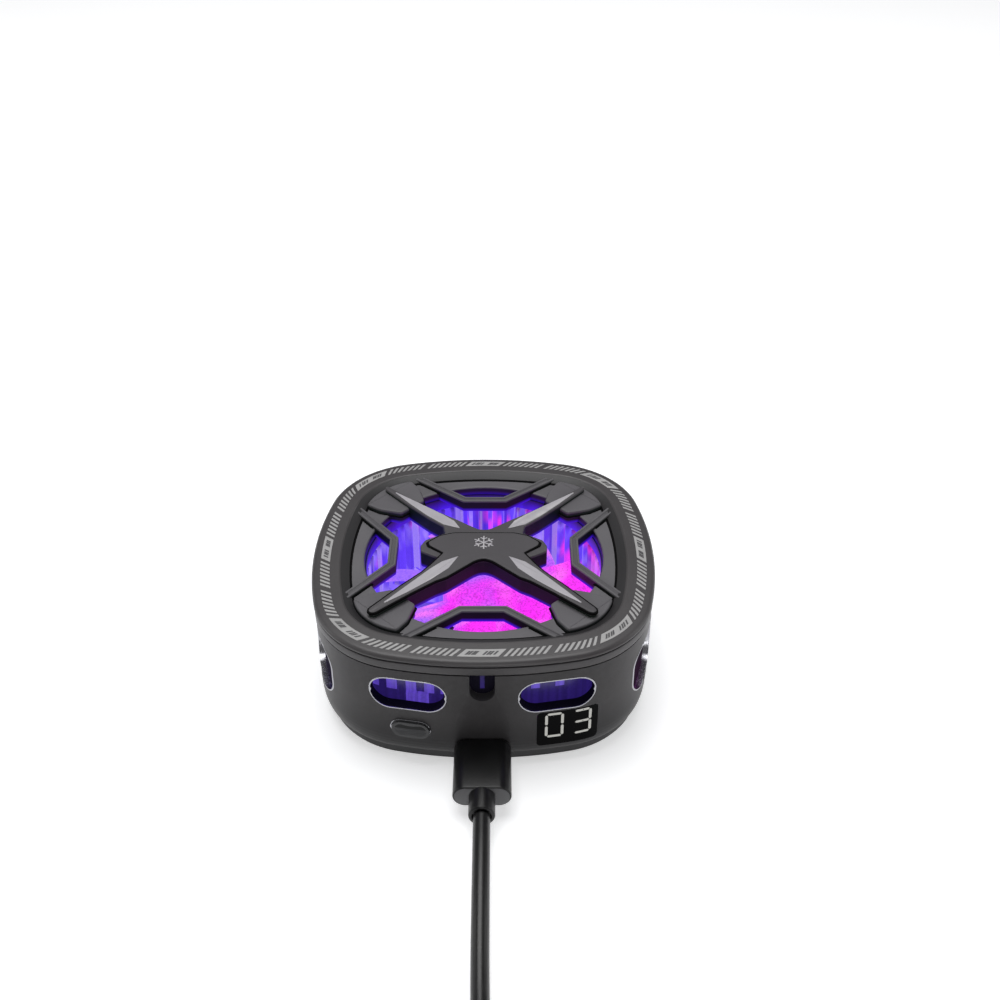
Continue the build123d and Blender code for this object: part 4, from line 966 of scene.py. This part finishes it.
def makeFan():
    f = fanShape
    radius, low, high, axis, bore = (f[key] for key in ("cupRadius", "cupLow", "cupHigh", "axisRadius",
                                                         "boreRadius"))
    inner, under, boss = radius - f["cupWall"], high - f["cupCap"], high + f["cupBoss"]
    cup = softCorners([(axis, high + f["cupDome"]), (radius, high), (radius, low), (inner, low),
                       (inner, under), (bore, under), (bore, boss), (axis, boss)], f["cupCorners"], 5)
    blades = [turned(bladeSurface(), k * 2 * math.pi / f["blades"]) for k in range(f["blades"])]
    # painted light: the blades' emission stands for the LEDs' magenta and violet light on them, with paler
    # patches
    finish = glowing("milkyBlade", "#3a1450", "#ff30f8", "#9a6cff", 1.2,
                     {"Middle": 0.0, "Softness": 0.009, "Cloud": 0.04, "Speckle": 0.42,
                      "Pale Patches": 0.8},
                     {"Roughness": 0.55, "Specular IOR Level": 0.25}, pale="#ff7cf6")
    addPiece("fanRotor", [lathed(cup)] + blades, finish, body="rotor",
             replaced=["fan_rotor"])


makeFan()
print("fan made")

# Rims of the vents: a rounded bead along each opening's outline, following the wall
ventShape = {"width": 14.2, "height": 7.3, "place": 13.35, "level": 16.6, "sideHeight": 11.2,
             "sidePlace": 16.7, "sideLevel": 13.8, "sideCorner": 4.0, "wall": 0.25, "bead": 0.12,
             "nearInset": 0.17, "farInset": 1.3}


def roundedLoop(width, height, corner=None, steps=10):
    # four corner arcs of a rounded rectangle, anticlockwise; without a corner its ends are half circles
    corner = height / 2 if corner is None else corner
    bend = np.linspace(0, quarter, steps)[None, :] + quarter * np.arange(4)[:, None]
    signX = np.array([1, -1, -1, 1])[:, None]
    signY = np.array([1, 1, -1, -1])[:, None]
    x = signX * (width / 2 - corner) + corner * np.cos(bend)
    y = signY * (height / 2 - corner) + corner * np.sin(bend)
    return np.column_stack([x.ravel(), y.ravel()])


def ontoWall(flat, inset):
    # a point (across, up) of the front wall put at an inset from the case outline
    return np.column_stack([flat[:, 0], -wallDepth(flat[:, 0], inset), flat[:, 1]])


def wallRows(loop, middle, rows):
    # the loop on the wall once for each (inwards, inset)
    return [ontoWall(shrunk(loop, inwards) + middle, inset) for inwards, inset in rows]


def makeVentRims():
    # rows of the bead: outer edge, rounded front, inner edge, back
    v = ventShape
    near, far, wall, bead = v["nearInset"], v["farInset"], v["wall"], v["bead"]
    rows = [(0.0, far), (0.0, near + bead), (wall / 5, near + bead / 4), (wall * 3 / 5, near),
            (wall, near + bead / 4), (wall, near + bead), (wall, far)]
    openings = ((roundedLoop(v["width"], v["height"]), v["place"], v["level"]),
                (roundedLoop(v["width"], v["sideHeight"], v["sideCorner"]), v["sidePlace"], v["sideLevel"]))
    shapes = []
    for side in range(4):
        loop, place, level = openings[side % 2]
        shapes += onSides([ringed(wallRows(loop, (sign * place, level), rows)) for sign in (-1, 1)], [side])
    addPiece("ventRims", shapes, trimChrome, replaced=["vent_trims"])


# Button: a domed key with a rounded rim, in its recess
buttonShape = {"middle": (-13.1, 8.6), "width": 6.6, "height": 3.3, "inset": -0.5, "backInset": 2.6,
               "round": 0.35, "dome": 0.05, "domeRings": (0.8, 0.55, 0.3, 0.1)}
keyRimShape = {"width": 7.2, "height": 3.9, "out": 0.08, "in": 0.16, "near": -0.02, "bead": 0.08, "far": 0.8}


def makeButton():
    b, k = buttonShape, keyRimShape
    loop = roundedLoop(b["width"], b["height"])
    rows = [(0.0, b["backInset"])] + quarterRound(b["round"], b["inset"] + b["dome"], 5, -1)
    grid = wallRows(loop, b["middle"], rows)
    inner = shrunk(loop, b["round"])
    grid += [ontoWall(inner * share + b["middle"], b["inset"] + b["dome"] * share ** 2)
             for share in b["domeRings"]]
    # painted shade: the key darkens above 9 mm, for its shaded top, and its rounded edges carry a painted
    # highlight
    keyPlastic = moulded("keyPlastic", ("#404042", "#4a4a4c", 0.28, 0.4, 5000.0, 90.0, 0.4),
                         sheenColour="#8a8a8c", sheenShare=0.6, low=("#030304", 9.0, -0.1),
                         specular=0.2)
    addPiece("modeKey", [capped(grid)], keyPlastic, body="button")
    rows = [(-k["out"], k["far"]), (-k["out"], k["near"] + k["bead"]), (0.0, k["near"]),
            (k["in"], k["near"] + k["bead"]), (k["in"], k["far"])]
    rim = ringed(wallRows(roundedLoop(k["width"], k["height"]), b["middle"], rows))
    addPiece("keyRim", [rim], trimChrome)


# Read-out: two seven-segment digits on the dark window
digitShape = {"level": 9.4, "places": (13.0, 18.1), "width": 3.4, "height": 5.9, "stroke": 0.5, "gap": 0.12,
              "corner": 0.06, "inset": 0.21, "depth": 0.12, "text": ("abcdef", "abcdg")}


def makeDigits():
    # segments a to g, each a hexagon from one joint to the next
    d = digitShape
    w, h = (d["width"] - d["stroke"]) / 2, (d["height"] - d["stroke"]) / 2
    joint = {"a": ((-w, h), (w, h)), "b": ((w, h), (w, 0)), "c": ((w, 0), (w, -h)), "d": ((w, -h), (-w, -h)),
             "e": ((-w, -h), (-w, 0)), "f": ((-w, 0), (-w, h)), "g": ((-w, 0), (w, 0))}
    shapes = []
    for place, lit in zip(d["places"], d["text"]):
        for segment in lit:
            start, end = (np.array(p, float) for p in joint[segment])
            along = (end - start) / np.linalg.norm(end - start)
            a, b = start + along * d["gap"], end - along * d["gap"]
            tip = along * d["stroke"] / 2
            box = strip(a + tip, b - tip, d["stroke"])
            flat = softCorners([a, *box[:2], b, *box[2:]], d["corner"], 3)
            flat = anticlockwise(flat) + (place, d["level"])
            shapes.append(capped([ontoWall(flat, d["inset"]), ontoWall(flat, d["inset"] + d["depth"])]))
    finish = glowing("litSegments", "#a9a8a3", "#d6d5cf", "#cbcac4", 0.42, {"Speckle": 0.12})
    addPiece("readOutDigits", shapes, finish)


# Behind the slot vents: dark plates with a dark sleeve, both painted shade for the dark inside, and two tiers
# of bars lit with painted light. Behind the notches: one bar. Blocks are given by width, low, high, near and
# far inset, and tiers by the same without width.
combShape = {
    "plate": (15.8, 12.0, 20.6, 3.9, 4.25), "notchPlate": (5.6, 15.6, 22.0, 2.33, 2.66),
    "notchBar": (0.8, 17.6, 21.9, 2.2, 2.32), "finBack": (38.0, 7.0, 20.3, 4.4, 4.5),
    "faint": (13.6, 12.02, 20.6, 3.45, 3.87), "faintPlace": -0.2,
    "upper": (14.9, 20.6, 3.2, 3.88), "short": (16.1, 20.6, 3.2, 3.88), "lower": (12.0, 14.85, 2.75, 3.88),
}
# painted shade: a dark sleeve lining each slot
sleeveShape = {"outer": 0.27, "inner": 0.33, "near": 0.45, "far": 2.3}
# bars of the left and the right vent: middle and width across it, from the left as seen from outside
combBars = {
    -1: {"upper": [(-6.1, 1.2), (-3.1, 1.9), (0.45, 1.9), (3.75, 1.8), (6.3, 1.0)],
         "lower": [(0.5, 2.0), (2.6, 2.0)]},
    1: {"short": [(-3.8, 1.6), (0.6, 1.6)]},
}


def wallBlock(middle, wide, low, high, near, far, columns=7):
    # a box that follows the wall: its four long edges run across it at two insets and two heights
    across = middle + wide * np.linspace(-0.5, 0.5, columns)
    edges = [(near, low), (near, high), (far, high), (far, low)]
    return capped(np.stack([ontoWall(atHeight(across, z), inset) for inset, z in edges], 1))


def makeCombs():
    c, v, f = combShape, ventShape, sleeveShape
    dark, lit, faint = [], [], []
    slot = roundedLoop(v["width"], v["height"])
    sleeve = [(f["outer"], f["near"]), (f["inner"], f["near"]), (f["inner"], f["far"]),
              (f["outer"], f["far"])]
    for sign, bars in combBars.items():
        middle = sign * v["place"]
        dark += [wallBlock(middle, *c["plate"]), ringed(wallRows(slot, (middle, v["level"]), sleeve))]
        lit += [wallBlock(middle + across, wide, *c[tier], 4)
                for tier, places in bars.items() for across, wide in places]
        faint.append(wallBlock(middle + c["faintPlace"], *c["faint"]))
    dark.append(wallBlock(0, *c["notchPlate"]))
    faint.append(wallBlock(0, *c["notchBar"], 3))
    # painted shade: the dark plates and sleeves stand for the shadow inside the vents
    ventShadeBacking = moulded("ventShadeBacking", ("#14111f", "#1b172a", 0.6, 0.75, 4000.0, 200.0, 0.3),
                       specular=0.1)
    field = {"Cloud": 0.03, "Softness": 0.01, "Speckle": 0.15, "Bands": 30.0, "Band Depth": 0.25,
             "Top": 0.0235, "Fade": 0.005}
    combLit = glowing("combLit", "#1c1634", "#6c50dc", "#5a40bc", 0.72, field)
    combFaint = glowing("combFaint", "#120e22", "#382684", "#2a1c6c", 0.55, field)
    glow = glowing("finGlow", "#120e22", "#f040fc", "#5c34f8", 1.0,
                   {"Middle": -0.002, "Softness": 0.011, "Cloud": 0.07, "Speckle": 0.1, "Bands": 9.0,
                    "Band Depth": 0.3, "Top": 0.0212, "Fade": 0.0025, "Pale Strips": 0.5}, pale="#8a6cff")
    for name, shapes, finish, slot in (
            ("ventShadePlates", dark, ventShadeBacking, "housing_plastic"), ("ventBars", lit, combLit, "guide_acrylic"),
            ("ventFaint", faint, combFaint, "guide_acrylic"),
            ("finGlow", [wallBlock(0, *c["finBack"], 15)], glow, "guide_acrylic")):
        addPiece(name, onSides(shapes, (0, 2)), finish)


makeVentRims()
makeCombs()
makeButton()
makeDigits()
print("vent rims, key and read-out made")

# Plug: moulded body with softened ends, a pale end face that is a painted reflection, and the short neck
plugShape = {
    "front": -33.05, "back": -44.8, "level": 5.0, "width": 10.4, "height": 4.6, "frontRound": 0.35,
    "backRound": 0.28, "faceInset": 0.3, "faceSink": 0.1, "faceLift": 0.03, "faceRound": 0.02,
    "neckRadius": 2.35, "neckSink": 0.2, "neckEnd": -49.3, "neckRound": 0.35, "mouthInset": 0.63,
    "mouthDepth": 0.7, "mouthLip": 0.06, "mouthEdge": 0.05, "frontFace": 1.3, "backFace": 1.2,
    "sideFlat": 0.001,
}


def capsuleLoft(width, height, stations, steps=14):
    # capsule sections along the lead, each drawn in by its own amount
    loop = roundedLoop(width, height, height / 2 - plugShape["sideFlat"], steps)
    lift = (0, 0, plugShape["level"])
    return capped([atHeight(shrunk(loop, inwards), y)[:, [0, 2, 1]] + lift for inwards, y in stations])


def makePlug(finish):
    p = plugShape
    front, back, end, inset = p["front"], p["back"], p["neckEnd"], p["faceInset"]
    body = [(p["frontRound"] * p["frontFace"], front)] + quarterRound(p["frontRound"], front, 6)[::-1]
    body += quarterRound(p["backRound"], back, 6, -1) + [(p["backRound"] * p["backFace"], back)]
    lifted = back - p["faceLift"]
    face = [(inset, back + p["faceSink"]), (inset, lifted + p["faceRound"] / 2),
            (inset + p["faceRound"], lifted)]
    mouth = p["mouthInset"]
    neck = [(0.0, back + p["neckSink"])] + quarterRound(p["neckRound"], end, 6, -1)
    neck += [(mouth - p["mouthEdge"], end), (mouth, end + p["mouthLip"]), (mouth, end + p["mouthDepth"])]
    thick = 2 * p["neckRadius"]
    # painted reflection: the end face is a lighter copy of the plug's black, for the pale floor that it
    # mirrors
    endReflection = moulded("endReflection", ("#58585a", "#646466", 0.3, 0.42, 4500.0, 120.0, 0.3))
    for name, shape, look, replaced in (
            ("plugBody", capsuleLoft(p["width"], p["height"], body), finish, ["usb_c_overmold"]),
            ("plugEndReflection", capsuleLoft(p["width"], p["height"], face), endReflection, []),
            ("plugNeck", capsuleLoft(thick, thick, neck, 12), finish, ["cable_neck"])):
        addPiece(name, [shape], look, body="lead", replaced=replaced)


# painted highlight on the plug's rounded edges
plugPlastic = moulded("plugPlastic", ("#09090a", "#101011", 0.26, 0.4, 4500.0, 120.0, 0.35),
                      sheenColour="#2c2c2e", sheenShare=0.5, specular=0.35)
makePlug(plugPlastic)
print("plug made")


# CAD nodes that keep their shape get their own finish
def dress(finish, *nodes):
    for node in nodes:
        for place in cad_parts[node].material_slots:
            place.material = finish


satin = (4000.0, 120.0, 0.4)
# name, colour, shade, least and most roughness, nodes
for name, colour, shade, smooth, rough, *nodes in (
        ("siliconePad", "#1b1b1d", "#242427", 0.55, 0.75, "silicone_pad"),
        ("basePlastic", "#1d1d1f", "#262628", 0.38, 0.5, "base_frame"),
        ("whiteCeramic", "#e3e2dd", "#efeeea", 0.5, 0.65, "peltier_cold_ceramic", "peltier_hot_ceramic"),
        ("leadInsulation", "#2a2225", "#3a2e31", 0.35, 0.5, "peltier_leads", "fan_lead"),
        ("bracketPlastic", "#222225", "#2c2c30", 0.4, 0.55, "fan_bracket"),
        ("rotorFerrite", "#2b2b2d", "#38383a", 0.6, 0.75, "rotor_magnet"),
        ("ledBoardWhite", "#d8d8da", "#e6e6e8", 0.4, 0.55, "led_board"),
        ("boardMask", "#12281c", "#1b3a28", 0.3, 0.45, "control_board"),
        ("chipEpoxy", "#18181a", "#222224", 0.45, 0.6, "control_chips"),
        ("displayBody", "#1a1a1c", "#242426", 0.4, 0.55, "display_module"),
        ("keyBase", "#2a2a2c", "#343436", 0.34, 0.46, "mode_button"),
        ("contactCarrier", "#17171a", "#212125", 0.4, 0.55, "usb_c_tongue", "usb_a_tongue"),
        ("tieSilicone", "#202023", "#2b2b2f", 0.5, 0.65, "coil_ties")):
    dress(moulded(name, (colour, shade, smooth, rough, *satin)), *nodes)
# name, colour, shade, marks per metre, nodes
for name, colour, shade, stretch, *nodes in (
        ("screwSteel", "#8d8e92", "#b4b5b9", (3000.0, 3000.0, 300.0), "base_screws", "heat_sink_screws",
         "fan_bracket_screws"),
        ("magnetNickel", "#b9b8b4", "#d2d1cd", (900.0, 900.0, 900.0), "magnets"),
        ("shuntSteel", "#77787c", "#97989c", (1500.0, 1500.0, 300.0), "magnet_shunt"),
        ("coldPlate", "#b7babf", "#d6d9de", (5000.0, 260.0, 260.0), "cold_plate"),
        ("pelletAlloy", "#6c6f78", "#8a8d96", (800.0, 800.0, 800.0), "peltier_pellets"),
        ("bearingBronze", "#8a6a3c", "#a88650", (900.0, 900.0, 900.0), "fan_bearing"),
        ("statorSteel", "#6a6b6f", "#86878b", (300.0, 300.0, 9000.0), "stator_core"),
        ("windingCopper", "#a3542c", "#c9743f", (300.0, 300.0, 6000.0), "stator_windings"),
        ("shaftSteel", "#a9abb0", "#c8cacf", (3000.0, 3000.0, 200.0), "fan_shaft"),
        ("switchMetal", "#97989c", "#b7b8bc", (2000.0, 300.0, 2000.0), "tact_switch"),
        ("portSteel", "#8f9095", "#b0b1b6", (2000.0, 200.0, 2000.0), "usb_c_receptacle"),
        ("contactGold", "#b58a3a", "#d9ac55", (2000.0, 200.0, 2000.0), "usb_a_contacts")):
    dress(brushed(name, colour, shade, stretch), *nodes)
dress(bodyPlastic, "housing")
dress(plugPlastic, "usb_a_neck", "usb_a_overmold")
dress(moulded("foam", ("#333336", "#48484c", 0.8, 0.95, 2200.0, 300.0, 1.0)), "foam_gasket")
dress(moulded("smokedWindow", ("#040405", "#080809", 0.22, 0.34, 4000.0, 120.0, 0.1),
              specular=0.03), "display_window")
dress(brushed("plugSteel", "#b4b5ba", "#d2d3d8", (3000.0, 200.0, 3000.0), 0.18, 0.3),
      "usb_c_plug_shell", "usb_a_shell")
# painted light: the heat sink's fins glow with the LEDs' light as emission, with paler strips and patches
dress(glowing("sinkAluminium", "#1c1830", "#ff3cf8", "#6640ff", 1.12,
              {"Middle": -0.002, "Softness": 0.011, "Cloud": 0.11, "Speckle": 0.12, "Bands": 9.0,
               "Band Depth": 0.4, "Top": 0.0212, "Fade": 0.0025, "Pale Strips": 0.75,
               "Pale Patches": 0.65}, {"Metallic": 0.3, "Roughness": 0.4}, pale="#b498ff"), "heat_sink")
dress(glowing("frostedGuide", "#131120", "#5420ff", "#4416f4", 0.85,
              {"Middle": 0.0, "Softness": 0.02, "Cloud": 0.02, "Speckle": 0.1, "Bands": 7.0,
               "Band Depth": 0.25, "Top": 0.0228, "Fade": 0.0024}), "light_guide")
dress(glowing("ledLens", "#d9c8ff", "#e070ff", "#a080ff", 2.0), "leds")
print("kept nodes finished")
